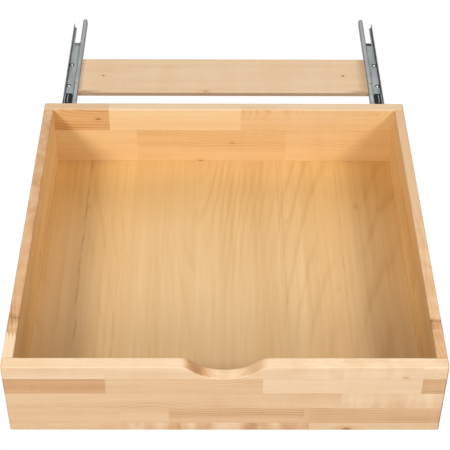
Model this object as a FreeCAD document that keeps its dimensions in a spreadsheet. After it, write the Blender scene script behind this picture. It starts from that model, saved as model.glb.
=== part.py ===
"""Under-desk drawer: a solid beech box with a birch plywood bottom on ball-bearing rails.

Frame: X across (the drawer is symmetric about X = 0), Y from the drawer's front to the rear, Z up.
The origin is the middle of the four rail screws, on the underside of the rails.
The drawer is drawn partly pulled out; it closes towards +Y.
Right-hand pieces are modelled, and the left-hand ones are their mirror images.
All sizes are in millimetres and come from the sheet "size".
"""

import FreeCAD
import Part
import Sketcher
import math
import os

doc = FreeCAD.newDocument("UnderDeskDrawer")
size = doc.addObject("Spreadsheet::Sheet", "size")

DRIVING_SIZES = {
    # drawer box
    "drawer_width": 600,
    "drawer_depth": 590,
    "drawer_height": 130,
    "side_thick": 15,
    "front_thick": 18,
    "back_thick": 18,
    "panel_thick": 9,
    "panel_recess": 11,
    "groove_depth": 6,
    "groove_play": 0.3,
    "edge_round": 1.6,
    "corner_round": 2.5,
    # hand grip in the front's top edge
    "grip_width": 124,
    "grip_depth": 23.2,
    "grip_end_radius": 26,
    "grip_flat": 4,
    # dowels of the corner joints
    "dowel_diameter": 8,
    "dowel_length": 36,
    "dowel_in_board": 12,
    "dowel_play": 0.1,
    "dowel_chamfer": 0.8,
    "dowel_first": 42,
    "dowel_spacing": 34,
    "dowel_end_play": 1,
    # rails: how much longer or shorter than the drawer's depth, or than the rail itself
    "kept_in": 156,
    "rail_setback": 3,
    "rail_beyond": 10,
    "lip_setback": 16,
    "web_setback": 75,
    "lip_taper": 3,
    "track_tip": 4,
    "stop_gap": 0.3,
    "rail_inset": 1,
    "drawer_lift": 14,
    "rail_steel": 1.5,
    "slide_steel": 1.2,
    "lip_height": 11,
    "track_height": 10,
    "track_width": 8.5,
    "web_strip": 3.5,
    "screw_setback": 32,
    "screw_spacing": 256,
    "screw_hole": 5.2,
    "locating_hole": 3,
    "locating_setback": 4,
    # balls, races and cages
    "ball_diameter": 3,
    "ball_gap": 2,
    "race_play": 0.1,
    "ball_pitch": 20,
    "lower_race": 6,
    "upper_race": 9.3,
    "cage_thick": 1.2,
    "cage_floor": 0.8,
    "cage_play": 0.2,
    "lower_cage_length": 220,
    "upper_cage_length": 186,
    # middle and drawer rails
    "middle_shorter": 64,
    "middle_setback": 24,
    "middle_foot": 3.5,
    "middle_top": 11.8,
    "stem_width": 5.1,
    "stem_gap": 0.5,
    "stem_play": 1,
    "flange_width": 14.5,
    "cap_length": 32,
    "cap_end": 1.5,
    "cap_gap": 0.3,
    "cap_play": 0.15,
    "cap_tongue": 23,
    "hook_diameter": 5,
    "hook_length": 9,
    "hook_height": 11,
    "hook_play": 0.3,
    "hook_gap": 0.2,
    "tail_overlap": 6,
    "lug_length": 10,
    "lug_gap": 0.5,
    # cross board and its brackets
    "board_depth": 110,
    "board_thick": 8,
    "board_setback": 248,
    "board_gap": 0.5,
    "board_arris": 0.8,
    "board_hole": 4.5,
    "board_hole_inset": 44.5,
    "bracket_reach": 40,
    "bracket_length": 88,
    "bracket_corner": 6,
    "rivet_spacing": 68,
    "rivet_inset": 31,
    "rivet_diameter": 4,
    "rivet_head": 6.2,
    "rivet_edge": 0.8,
    "rivet_rim": 0.25,
    "rivet_tail": 1,
    "dish_play": 0.6,
    # front catches
    "catch_width": 26,
    "catch_length": 38,
    "catch_thick": 6,
    "catch_gap": 7,
    "catch_corner": 3,
    "catch_overhang": 4,
    "catch_screw_inset": 6,
    "pivot_diameter": 4,
    "pivot_play": 0.08,
    "pivot_root": 0.5,
    "pivot_lip": 0.8,
    "lever_thick": 3.4,
    "lever_width": 9,
    "lever_grip": 30,
    "lever_tip": 5,
    "lever_flare": 2,
    # wood screws and their holes
    "wood_screw": 3.5,
    "screw_point": 2.5,
    "screw_head": 6.8,
    "screw_head_height": 2.2,
    "recess_span": 3.8,
    "recess_width": 0.7,
    "recess_depth": 1.1,
    "tight_play": 0.05,
    "easy_play": 0.15,
}

for row, (alias, number) in enumerate(DRIVING_SIZES.items(), start=1):
    size.set(f"A{row}", alias)
    size.set(f"B{row}", str(number))
    size.setAlias(f"B{row}", alias)
doc.recompute()

BALLS_IN_ROW = 9
DOWELS_IN_CORNER = 3

# A cut runs one or two millimetres past the surface that it opens.

# Lengths that follow the drawer's depth.
OPENING = "(size.drawer_depth - size.kept_in)"
RAIL_LENGTH = "(size.drawer_depth + size.rail_beyond)"
LIP_LENGTH = f"({RAIL_LENGTH} - size.lip_setback)"
WEB_LENGTH = f"({RAIL_LENGTH} - size.web_setback)"
MIDDLE_LENGTH = f"({RAIL_LENGTH} - size.middle_shorter)"
BOARD_PLACE = f"({RAIL_LENGTH} - size.board_setback)"
RIVET_PLACE = f"({BOARD_PLACE} + size.rivet_inset)"
WHOLE_LENGTH = f"(2 * {RAIL_LENGTH})"

# Places along Y. The rails stay put; the drawer's front is where the opening puts it.
RAIL_FRONT = "(-(size.screw_setback + size.screw_spacing / 2))"
DRAWER_RAIL_FRONT = f"({RAIL_FRONT} - {OPENING})"
FRONT_INNER = f"({DRAWER_RAIL_FRONT} - size.rail_setback)"
DRAWER_FRONT = f"({FRONT_INNER} - size.front_thick)"
DRAWER_BACK = f"({DRAWER_FRONT} + size.drawer_depth)"
BACK_INNER = f"({DRAWER_BACK} - size.back_thick)"
MIDDLE_FRONT = f"({RAIL_FRONT} + size.middle_setback - {OPENING} / 2)"
MIDDLE_REAR = f"({MIDDLE_FRONT} + {MIDDLE_LENGTH})"
CAP_FRONT = f"({MIDDLE_REAR} - size.cap_length)"
STEM_REAR = f"({CAP_FRONT} - {OPENING} / 2 - size.stem_play)"
BOARD_FRONT = f"({RAIL_FRONT} + {BOARD_PLACE})"
RIVET_FRONT = f"({RAIL_FRONT} + {RIVET_PLACE})"
RIVET_MIDDLE = f"({RIVET_FRONT} + size.rivet_spacing / 2)"

# Places across X, on the right-hand side.
HALF_WIDTH = "(size.drawer_width / 2)"
SIDE_INNER = f"({HALF_WIDTH} - size.side_thick)"
MIDDLE_INNER_HALF = "(size.stem_width / 2 + size.ball_gap)"
MIDDLE_OUTER_HALF = f"({MIDDLE_INNER_HALF} + size.slide_steel)"
CHANNEL_HALF = f"({MIDDLE_OUTER_HALF} + size.ball_gap)"
LIP_OUTER = f"({CHANNEL_HALF} + size.rail_steel)"
LOWER_TRACK = f"({MIDDLE_OUTER_HALF} + size.ball_gap / 2)"
UPPER_TRACK = f"({MIDDLE_INNER_HALF} - size.ball_gap / 2)"
TRACK_INNER = f"({CHANNEL_HALF} + size.track_width)"
RAIL_MIDDLE = f"({HALF_WIDTH} - size.rail_inset - {LIP_OUTER})"
RIVET_X = f"({CHANNEL_HALF} - size.rivet_head / 2 - size.rivet_edge)"
BOARD_END = f"({RAIL_MIDDLE} - {TRACK_INNER} - size.board_gap)"

# Places along Z.
DRAWER_FOOT = "size.drawer_lift"
PANEL_UNDER = "(size.drawer_lift + size.panel_recess)"
FLANGE_UNDER = "(size.drawer_lift - size.slide_steel)"
CATCH_UNDER = f"({PANEL_UNDER} - size.catch_thick)"
LUG_TOP = f"({CATCH_UNDER} - size.lug_gap)"
LOWER_CAGE_FOOT = "(size.middle_foot - size.cage_play - size.cage_floor)"
MIDDLE_FLOOR = "(size.middle_foot + size.slide_steel)"
UPPER_CAGE_FOOT = f"({MIDDLE_FLOOR} + size.cage_play)"
STEM_FOOT = f"({UPPER_CAGE_FOOT} + size.cage_floor + size.stem_gap)"

# Radii, and heights measured from a race.
RACE_RADIUS = "(size.ball_diameter / 2 + size.race_play)"
BALL_HOLE_RADIUS = "(size.ball_diameter / 2 + size.cage_play)"
CAGE_TOP_MARGIN = f"({BALL_HOLE_RADIUS} + 0.5)"
CAP_SEAT = f"(size.lower_race + {CAGE_TOP_MARGIN} + size.cap_gap)"
TIGHT_SCREW_RADIUS = "(size.wood_screw / 2 + size.tight_play)"
EASY_SCREW_RADIUS = "(size.wood_screw / 2 + size.easy_play)"
RIVET_HOLE_RADIUS = "(size.rivet_diameter / 2 + size.tight_play)"


def number(expression):
    """The present value of an expression, for a sketch's first shape."""
    return float(size.evalExpression(str(expression)))


def place(piece, x="0", y="0", z="0"):
    """Binds a piece's position to expressions."""
    for axis, expression in zip("xyz", (x, y, z)):
        piece.setExpression(f".Placement.Base.{axis}", str(expression))


def new_body(label):
    """An empty body whose label names its sub-part."""
    body = doc.addObject("PartDesign::Body", label)
    body.Label = label
    return body


def new_sketch(body, name, role, offset="0"):
    """A sketch on one of the body's own origin planes, moved along the plane's normal."""
    sketch = body.newObject("Sketcher::SketchObject", f"{body.Name}_{name}")
    plane = next(item for item in body.Origin.OriginFeatures if item.Role == role)
    sketch.AttachmentSupport = [(plane, "")]
    sketch.MapMode = "FlatFace"
    sketch.setExpression(".AttachmentOffset.Base.z", str(offset))
    return sketch


def pin_point(sketch, geometry, end, x, y):
    """Fixes one point of a sketch at the place that two expressions give."""
    for kind, expression in (("DistanceX", x), ("DistanceY", y)):
        limit = Sketcher.Constraint(kind, -1, 1, geometry, end, number(expression))
        index = sketch.addConstraint(limit)
        sketch.setExpression(f"Constraints[{index}]", str(expression))


def add_outline(sketch, points):
    """A closed outline of straight lines through points given as pairs of expressions."""
    corners = [FreeCAD.Vector(number(x), number(y), 0) for x, y in points]
    first = sketch.GeometryCount
    for start, end in zip(corners, corners[1:] + corners[:1]):
        sketch.addGeometry(Part.LineSegment(start, end))
    for index in range(len(points)):
        following = first + (index + 1) % len(points)
        sketch.addConstraint(Sketcher.Constraint("Coincident", first + index, 2, following, 1))
    for index, (x, y) in enumerate(points):
        pin_point(sketch, first + index, 1, x, y)


def add_rectangle(sketch, left, right, low, high):
    """A rectangle between two places across and two places up."""
    add_outline(sketch, [(left, low), (right, low), (right, high), (left, high)])


def add_circle(sketch, x, y, radius):
    """A circle whose centre and radius are expressions."""
    centre = FreeCAD.Vector(number(x), number(y), 0)
    circle = sketch.addGeometry(Part.Circle(centre, FreeCAD.Vector(0, 0, 1), number(radius)))
    pin_point(sketch, circle, 3, x, y)
    index = sketch.addConstraint(Sketcher.Constraint("Radius", circle, number(radius)))
    sketch.setExpression(f"Constraints[{index}]", str(radius))


def pad(body, sketch, length, backwards=False):
    """Adds the sketch's shape along its normal, or the other way."""
    feature = body.newObject("PartDesign::Pad", f"{sketch.Name}_pad")
    feature.Profile = sketch
    feature.Reversed = backwards
    feature.setExpression("Length", str(length))
    sketch.Visibility = False
    doc.recompute()
    return feature


def pocket(body, sketch, length, backwards=False):
    """Cuts the sketch's shape against its normal, or along it, and checks that it cut something."""
    before = body.Shape.Volume
    feature = body.newObject("PartDesign::Pocket", f"{sketch.Name}_pocket")
    feature.Profile = sketch
    feature.Reversed = backwards
    feature.setExpression("Length", str(length))
    sketch.Visibility = False
    doc.recompute()
    if not body.Shape.Volume < before - 0.01:
        raise RuntimeError(f"{feature.Name} cuts nothing")
    return feature


def row_of(body, feature, axis_role, spacing, count):
    """Repeats a feature in a row along one of the body's origin axes."""
    row = body.newObject("PartDesign::LinearPattern", f"{feature.Name}_row")
    row.Originals = [feature]
    axis = next(item for item in body.Origin.OriginFeatures if item.Role == axis_role)
    row.Direction = (axis, [""])
    row.Mode = "Spacing"
    row.setExpression("Offset", str(spacing))
    row.Occurrences = count
    body.Tip = row
    doc.recompute()
    return row


def round_edges(body, radius, wanted, name="round"):
    """Rounds every edge of the body that the test picks."""
    base = body.Tip
    names = []
    for index, edge in enumerate(base.Shape.Edges, start=1):
        if wanted(edge):
            names.append(f"Edge{index}")
    if not names:
        raise RuntimeError(f"{body.Label}: no edge to round")
    fillet = body.newObject("PartDesign::Fillet", f"{body.Name}_{name}")
    fillet.Base = (base, names)
    fillet.setExpression("Radius", str(radius))
    doc.recompute()
    return fillet


def runs_along(edge, axis):
    """Whether an edge is straight and parallel to an axis."""
    if not isinstance(edge.Curve, Part.Line):
        return False
    return abs(abs(edge.Curve.Direction.dot(axis)) - 1) < 1e-6


def middle_of(edge):
    """The point halfway along an edge."""
    return edge.valueAt((edge.FirstParameter + edge.LastParameter) / 2)


def near(first, second):
    """Whether two coordinates agree to within a hundredth of a millimetre."""
    return abs(first - second) < 0.01


def mirrored(piece, label):
    """The left-hand twin of a right-hand piece."""
    twin = doc.addObject("Part::Mirroring", label)
    twin.Label = label
    twin.Source = piece
    twin.Normal = FreeCAD.Vector(1, 0, 0)
    return twin


def group_of(label, master, places):
    """Copies of one piece, joined in one node as a group of separate solids."""
    copies = []
    for index, (x, y, z) in enumerate(places, start=1):
        copy = doc.addObject("App::Link", f"{label}_{index}")
        copy.LinkedObject = master
        copy.LinkTransform = False
        place(copy, x, y, z)
        copies.append(copy)
    group = doc.addObject("Part::Compound", label)
    group.Label = label
    group.Links = copies
    doc.recompute()
    return group


ALONG_X = FreeCAD.Vector(1, 0, 0)
ALONG_Y = FreeCAD.Vector(0, 1, 0)
ALONG_Z = FreeCAD.Vector(0, 0, 1)


# ---------------------------------------------------------------- drawer box


def cut_groove(body, face_offset, half_length, role, backwards):
    """The groove that holds the bottom panel, cut from an inner face."""
    sketch = new_sketch(body, "groove", role, face_offset)
    low = "size.panel_recess"
    high = "(size.panel_recess + size.panel_thick + size.groove_play)"
    add_rectangle(sketch, f"-{half_length}", half_length, low, high)
    pocket(body, sketch, "size.groove_depth", backwards)


def dowel_heights():
    """Heights of the dowels above the drawer's bottom edge."""
    return [f"(size.dowel_first + {step} * size.dowel_spacing)" for step in range(DOWELS_IN_CORNER)]


def drill_dowel_holes(body, role, face_offset, across, depth, backwards):
    """Blind dowel holes in a board's face or end."""
    sketch = new_sketch(body, "dowel_holes", role, face_offset)
    radius = "((size.dowel_diameter + size.dowel_play) / 2)"
    for x in across:
        for height in dowel_heights():
            add_circle(sketch, x, height, radius)
    pocket(body, sketch, depth, backwards)


DOWEL_X = f"({HALF_WIDTH} - size.side_thick / 2)"
GROOVE_HALF = f"({SIDE_INNER} + size.groove_depth)"


def add_grip_outline(sketch):
    """The hand grip: a flat bottom, two wide hollow curves and two rounded shoulders, open at the top."""
    half = number("size.grip_width / 2")
    depth = number("size.grip_depth")
    flat = number("size.grip_flat / 2")
    shoulder = number("size.grip_end_radius")
    top = number("size.drawer_height")
    run = half - flat
    turn = 2 * math.atan2(depth, run)
    hollow = run / math.sin(turn) - shoulder
    lift = 10  # the cut's outline closes this far above the front
    up = FreeCAD.Vector(0, 0, 1)
    down_turn = -math.pi / 2

    def arc(x, y, radius, start, end):
        circle = Part.Circle(FreeCAD.Vector(x, y, 0), up, radius)
        return sketch.addGeometry(Part.ArcOfCircle(circle, start, end))

    def line(x1, y1, x2, y2):
        return sketch.addGeometry(Part.LineSegment(FreeCAD.Vector(x1, y1, 0), FreeCAD.Vector(x2, y2, 0)))

    right_shoulder = arc(half, top - shoulder, shoulder, math.pi / 2, math.pi / 2 + turn)
    right_hollow = arc(flat, top - depth + hollow, hollow, down_turn, down_turn + turn)
    bottom = line(flat, top - depth, -flat, top - depth)
    left_hollow = arc(-flat, top - depth + hollow, hollow, down_turn - turn, down_turn)
    left_shoulder = arc(-half, top - shoulder, shoulder, math.pi / 2 - turn, math.pi / 2)
    left_wall = line(-half, top, -half, top + lift)
    lid = line(-half, top + lift, half, top + lift)
    right_wall = line(half, top + lift, half, top)

    joined = [
        ("Tangent", right_shoulder, 2, right_hollow, 2),
        ("Tangent", right_hollow, 1, bottom, 1),
        ("Tangent", bottom, 2, left_hollow, 2),
        ("Tangent", left_hollow, 1, left_shoulder, 1),
        ("Coincident", left_shoulder, 2, left_wall, 1),
        ("Coincident", left_wall, 2, lid, 1),
        ("Coincident", lid, 2, right_wall, 1),
        ("Coincident", right_wall, 2, right_shoulder, 1),
        ("Vertical", left_wall),
        ("Vertical", right_wall),
        ("Horizontal", lid),
        ("Equal", right_shoulder, left_shoulder),
        ("Equal", right_hollow, left_hollow),
        ("Symmetric", bottom, 1, bottom, 2, -2),
    ]
    for relation in joined:
        sketch.addConstraint(Sketcher.Constraint(*relation))

    def bound(kind, *where, value):
        index = sketch.addConstraint(Sketcher.Constraint(kind, *where, number(value)))
        sketch.setExpression(f"Constraints[{index}]", value)

    bound("DistanceX", -1, 1, right_shoulder, 1, value="size.grip_width / 2")
    bound("DistanceY", -1, 1, right_shoulder, 1, value="size.drawer_height")
    bound("DistanceX", -1, 1, left_shoulder, 2, value="-size.grip_width / 2")
    bound("DistanceY", -1, 1, left_shoulder, 2, value="size.drawer_height")
    bound("DistanceX", -1, 1, right_shoulder, 3, value="size.grip_width / 2")
    bound("Radius", right_shoulder, value="size.grip_end_radius")
    bound("DistanceX", -1, 1, bottom, 1, value="size.grip_flat / 2")
    bound("DistanceY", -1, 1, bottom, 1, value="size.drawer_height - size.grip_depth")
    bound("DistanceY", -1, 1, left_wall, 2, value=f"size.drawer_height + {lift}")


def make_drawer_front():
    """The front: full width, grooved and drilled inside, with the hand grip in its top edge."""
    body = new_body("drawer_front")
    place(body, y=DRAWER_FRONT, z=DRAWER_FOOT)
    board = new_sketch(body, "board", "XZ_Plane")
    add_rectangle(board, f"-{HALF_WIDTH}", HALF_WIDTH, "0", "size.drawer_height")
    pad(body, board, "size.front_thick", backwards=True)
    grip = new_sketch(body, "grip", "XZ_Plane", "1")
    add_grip_outline(grip)
    pocket(body, grip, "size.front_thick + 2", backwards=False)
    inner_face = "-size.front_thick"
    top = number("size.drawer_height")
    half = number(HALF_WIDTH)
    round_edges(
        body,
        "size.corner_round",
        lambda edge: runs_along(edge, ALONG_Z) and near(middle_of(edge).y, 0),
        "corners",
    )
    low_point = top - number("size.grip_depth") - 0.01
    end_margin = number("size.corner_round") + 0.5
    round_edges(
        body,
        "size.edge_round",
        lambda edge: middle_of(edge).z > low_point
        and not runs_along(edge, ALONG_Z)
        and not runs_along(edge, ALONG_Y)
        and abs(middle_of(edge).x) < half - end_margin,
        "top",
    )
    cut_groove(body, inner_face, GROOVE_HALF, "XZ_Plane", backwards=True)
    drill_dowel_holes(
        body, "XZ_Plane", inner_face, [f"-{DOWEL_X}", DOWEL_X], "size.dowel_in_board", backwards=True
    )
    return body


def make_drawer_back():
    """The back: full width, grooved and drilled inside, with two holes for the rails' hooks behind."""
    body = new_body("drawer_back")
    place(body, y=BACK_INNER, z=DRAWER_FOOT)
    board = new_sketch(body, "board", "XZ_Plane")
    add_rectangle(board, f"-{HALF_WIDTH}", HALF_WIDTH, "0", "size.drawer_height")
    pad(body, board, "size.back_thick", backwards=True)
    thick = number("size.back_thick")
    round_edges(
        body,
        "size.corner_round",
        lambda edge: runs_along(edge, ALONG_Z) and near(middle_of(edge).y, thick),
        "corners",
    )
    top = number("size.drawer_height")
    round_edges(
        body,
        "size.edge_round",
        lambda edge: runs_along(edge, ALONG_X) and near(middle_of(edge).z, top),
        "top",
    )
    cut_groove(body, "0", GROOVE_HALF, "XZ_Plane", backwards=False)
    drill_dowel_holes(
        body, "XZ_Plane", "0", [f"-{DOWEL_X}", DOWEL_X], "size.dowel_in_board", backwards=False
    )
    hooks = new_sketch(body, "hook_holes", "XZ_Plane", "-size.back_thick")
    radius = "(size.hook_diameter / 2 + size.hook_play)"
    for x in (f"-{RAIL_MIDDLE}", RAIL_MIDDLE):
        add_circle(hooks, x, "size.hook_height", radius)
    pocket(body, hooks, "size.hook_length + 1", backwards=True)
    return body


def make_right_side():
    """A side board between the front and the back, grooved inside and drilled in both ends."""
    body = new_body("right_side")
    place(body, SIDE_INNER, FRONT_INNER, DRAWER_FOOT)
    length = f"({BACK_INNER} - {FRONT_INNER})"
    board = new_sketch(body, "board", "XZ_Plane")
    add_rectangle(board, "0", "size.side_thick", "0", "size.drawer_height")
    pad(body, board, length, backwards=True)
    top = number("size.drawer_height")
    round_edges(
        body,
        "size.edge_round",
        lambda edge: runs_along(edge, ALONG_Y) and near(middle_of(edge).z, top),
        "top",
    )
    groove = new_sketch(body, "groove", "XZ_Plane", "1")
    high = "(size.panel_recess + size.panel_thick + size.groove_play)"
    add_rectangle(groove, "-1", "size.groove_depth", "size.panel_recess", high)
    pocket(body, groove, f"{length} + 2")
    in_end = "(size.dowel_length - size.dowel_in_board + size.dowel_end_play)"
    radius = "((size.dowel_diameter + size.dowel_play) / 2)"
    for name, offset, backwards in (("front_holes", "0", False), ("rear_holes", f"-{length}", True)):
        holes = new_sketch(body, name, "XZ_Plane", offset)
        for height in dowel_heights():
            add_circle(holes, "size.side_thick / 2", height, radius)
        pocket(body, holes, in_end, backwards)
    return body


def make_bottom_panel():
    """The plywood bottom, held in the grooves of all four boards, with pilot holes for the catches."""
    body = new_body("bottom_panel")
    place(body, y=FRONT_INNER, z=PANEL_UNDER)
    tongue = "(size.groove_depth - size.groove_play)"
    half = f"({SIDE_INNER} + {tongue})"
    sheet = new_sketch(body, "sheet", "XY_Plane")
    add_rectangle(sheet, f"-{half}", half, f"-{tongue}", f"({BACK_INNER} - {FRONT_INNER} + {tongue})")
    pad(body, sheet, "size.panel_thick")
    pilots = new_sketch(body, "pilots", "XY_Plane")
    for x, y, _ in catch_screw_places():
        add_circle(pilots, x, f"({y} - {FRONT_INNER})", TIGHT_SCREW_RADIUS)
    pocket(body, pilots, "size.panel_thick - 1.5", backwards=True)
    return body


def make_corner_dowels():
    """Twelve beech dowels, three in each corner."""
    dowel = new_body("dowel_master")
    circle = new_sketch(dowel, "circle", "XZ_Plane")
    add_circle(circle, "0", "0", "(size.dowel_diameter / 2)")
    pad(dowel, circle, "size.dowel_length", backwards=True)
    rod = dowel.Tip
    rims = []
    for index, edge in enumerate(rod.Shape.Edges, start=1):
        if isinstance(edge.Curve, Part.Circle):
            rims.append(f"Edge{index}")
    chamfer = dowel.newObject("PartDesign::Chamfer", "dowel_ends")
    chamfer.Base = (rod, rims)
    chamfer.setExpression("Size", "size.dowel_chamfer")
    doc.recompute()
    places = []
    front_start = f"({FRONT_INNER} - size.dowel_in_board)"
    back_start = f"({BACK_INNER} - size.dowel_length + size.dowel_in_board)"
    for start in (front_start, back_start):
        for x in (f"-{DOWEL_X}", DOWEL_X):
            for height in dowel_heights():
                places.append((x, start, f"({DRAWER_FOOT} + {height})"))
    return group_of("corner_dowels", dowel, places)


# ---------------------------------------------------------------- rails


def fold_rail(body):
    """The fixed rail's folded strip: an outer lip, a flat web and a raised track."""
    steel = "size.rail_steel"
    profile = new_sketch(body, "profile", "XZ_Plane")
    add_outline(
        profile,
        [
            (LIP_OUTER, "0"),
            (LIP_OUTER, "size.lip_height"),
            (CHANNEL_HALF, "size.lip_height"),
            (CHANNEL_HALF, steel),
            (f"-{CHANNEL_HALF}", steel),
            (f"-{CHANNEL_HALF}", "size.track_height"),
            (f"-{TRACK_INNER}", "size.track_height"),
            (f"-{TRACK_INNER}", "0"),
            (f"(-{TRACK_INNER} + {steel})", "0"),
            (f"(-{TRACK_INNER} + {steel})", f"(size.track_height - {steel})"),
            (f"(-{CHANNEL_HALF} - {steel})", f"(size.track_height - {steel})"),
            (f"(-{CHANNEL_HALF} - {steel})", "0"),
        ],
    )
    pad(body, profile, RAIL_LENGTH, backwards=True)


def round_rail(body):
    """The rolled bends of the track, outside and inside, and the lip's soft outer edge."""
    steel = "size.rail_steel"
    top = number("size.track_height")
    under = top - number(steel)
    channel = number(CHANNEL_HALF)
    round_edges(
        body,
        f"(1.6 * {steel})",
        lambda edge: runs_along(edge, ALONG_Y) and near(middle_of(edge).z, top) and middle_of(edge).x < 0,
        "track",
    )
    round_edges(
        body,
        f"(0.6 * {steel})",
        lambda edge: runs_along(edge, ALONG_Y) and near(middle_of(edge).z, under) and middle_of(edge).x < 0,
        "track_inside",
    )
    round_edges(
        body,
        f"(0.3 * {steel})",
        lambda edge: runs_along(edge, ALONG_Y)
        and middle_of(edge).x > channel - 0.01
        and middle_of(edge).z > top,
        "lip",
    )


def add_round_end(sketch, left, right, strip_end, tip):
    """Outline of what is cut away at a strip's end to leave it with a tip of the given length, round."""
    start = f"({strip_end} - {tip})"
    past = f"({strip_end} + 1)"
    half = f"(0.5 * ({right} - {left}))"
    radius = f"(({half} * {half} + {tip} * {tip}) / (2 * {tip}))"
    points = [(right, start), (right, past), (left, past), (left, start)]
    corners = [FreeCAD.Vector(number(x), number(y), 0) for x, y in points]
    for first, second in zip(corners, corners[1:]):
        sketch.addGeometry(Part.LineSegment(first, second))
    centre = (corners[0] + corners[3]) * 0.5 - ALONG_Y * (number(radius) - number(tip))
    turn = math.acos(number(half) / number(radius))
    circle = Part.Circle(centre, ALONG_Z, number(radius))
    arc = sketch.addGeometry(Part.ArcOfCircle(circle, turn, math.pi - turn))
    relations = [
        ("Coincident", 0, 2, 1, 1),
        ("Coincident", 1, 2, 2, 1),
        ("Coincident", 2, 2, arc, 2),
        ("Coincident", arc, 1, 0, 1),
    ]
    for relation in relations:
        sketch.addConstraint(Sketcher.Constraint(*relation))
    for line, (x, y) in enumerate(points[:3]):
        pin_point(sketch, line, 1, x, y)
    pin_point(sketch, 2, 2, left, start)
    index = sketch.addConstraint(Sketcher.Constraint("Radius", arc, number(radius)))
    sketch.setExpression(f"Constraints[{index}]", radius)


def cut_rail_ends(body):
    """Shortens the web so that lip and track end in prongs, tapers one and rounds the other."""
    past_end = f"({RAIL_LENGTH} + 1)"
    strip = f"({CHANNEL_HALF} - size.web_strip)"
    ends = new_sketch(body, "prongs", "XY_Plane", "-1")
    add_rectangle(ends, f"-{CHANNEL_HALF}", strip, WEB_LENGTH, past_end)
    pocket(body, ends, "size.lip_height + 2", backwards=True)
    lip_end = new_sketch(body, "lip_end", "XY_Plane", "-1")
    add_outline(
        lip_end,
        [
            (f"({strip} - 1)", f"({LIP_LENGTH} - size.lip_taper)"),
            (CHANNEL_HALF, f"({LIP_LENGTH} - size.lip_taper / 2)"),
            (f"({LIP_OUTER} + 1)", LIP_LENGTH),
            (f"({LIP_OUTER} + 1)", past_end),
            (f"({strip} - 1)", past_end),
        ],
    )
    pocket(body, lip_end, "size.lip_height + 2", backwards=True)
    track_end = new_sketch(body, "track_end", "XY_Plane", "-1")
    outer_edge = f"(-{TRACK_INNER} - 0.01)"
    inner_edge = f"(-{CHANNEL_HALF} + 0.01)"
    add_round_end(track_end, outer_edge, inner_edge, RAIL_LENGTH, "size.track_tip")
    pocket(body, track_end, "size.track_height + 2", backwards=True)
    stop = new_sketch(body, "stop", "XY_Plane", "0")
    add_rectangle(stop, f"-{CHANNEL_HALF}", strip, f"({WEB_LENGTH} - size.rail_steel)", WEB_LENGTH)
    pad(body, stop, "(size.middle_foot - size.stop_gap)")


def cut_rail_holes(body):
    """The locating hole in the track, and the dished rivet holes and screw holes in the web."""
    locating = new_sketch(body, "locating_hole", "XY_Plane", "size.track_height + 1")
    add_circle(
        locating,
        f"(-{CHANNEL_HALF} - size.track_width / 2)",
        f"({RIVET_PLACE} - size.locating_setback)",
        "(size.locating_hole / 2)",
    )
    pocket(body, locating, "size.rail_steel + 2")
    dishes = new_sketch(body, "dishes", "XY_Plane", "size.rail_steel")
    rivet_holes = new_sketch(body, "rivet_holes", "XY_Plane", "size.rail_steel")
    for y in (RIVET_PLACE, f"({RIVET_PLACE} + size.rivet_spacing)"):
        add_circle(dishes, RIVET_X, y, "(size.rivet_head / 2 + size.dish_play)")
        add_circle(rivet_holes, RIVET_X, y, RIVET_HOLE_RADIUS)
    pocket(body, dishes, "0.4 * size.rail_steel")
    pocket(body, rivet_holes, "size.rail_steel + 1")
    screws = new_sketch(body, "screw_holes", "XY_Plane", "size.rail_steel")
    for y in ("size.screw_setback", "(size.screw_setback + size.screw_spacing)"):
        add_circle(screws, "0", y, "(size.screw_hole / 2)")
    pocket(body, screws, "size.rail_steel + 1")


def make_right_fixed_rail():
    """The rail that is screwed down: an outer lip, a flat web and a raised track, ending in two prongs."""
    body = new_body("right_fixed_rail")
    place(body, RAIL_MIDDLE, RAIL_FRONT)
    fold_rail(body)
    round_rail(body)
    races = new_sketch(body, "races", "XZ_Plane", "1")
    for sign in ("-", ""):
        add_circle(races, f"{sign}{LOWER_TRACK}", "size.lower_race", RACE_RADIUS)
    pocket(body, races, WHOLE_LENGTH)
    cut_rail_ends(body)
    cut_rail_holes(body)
    return body


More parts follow.
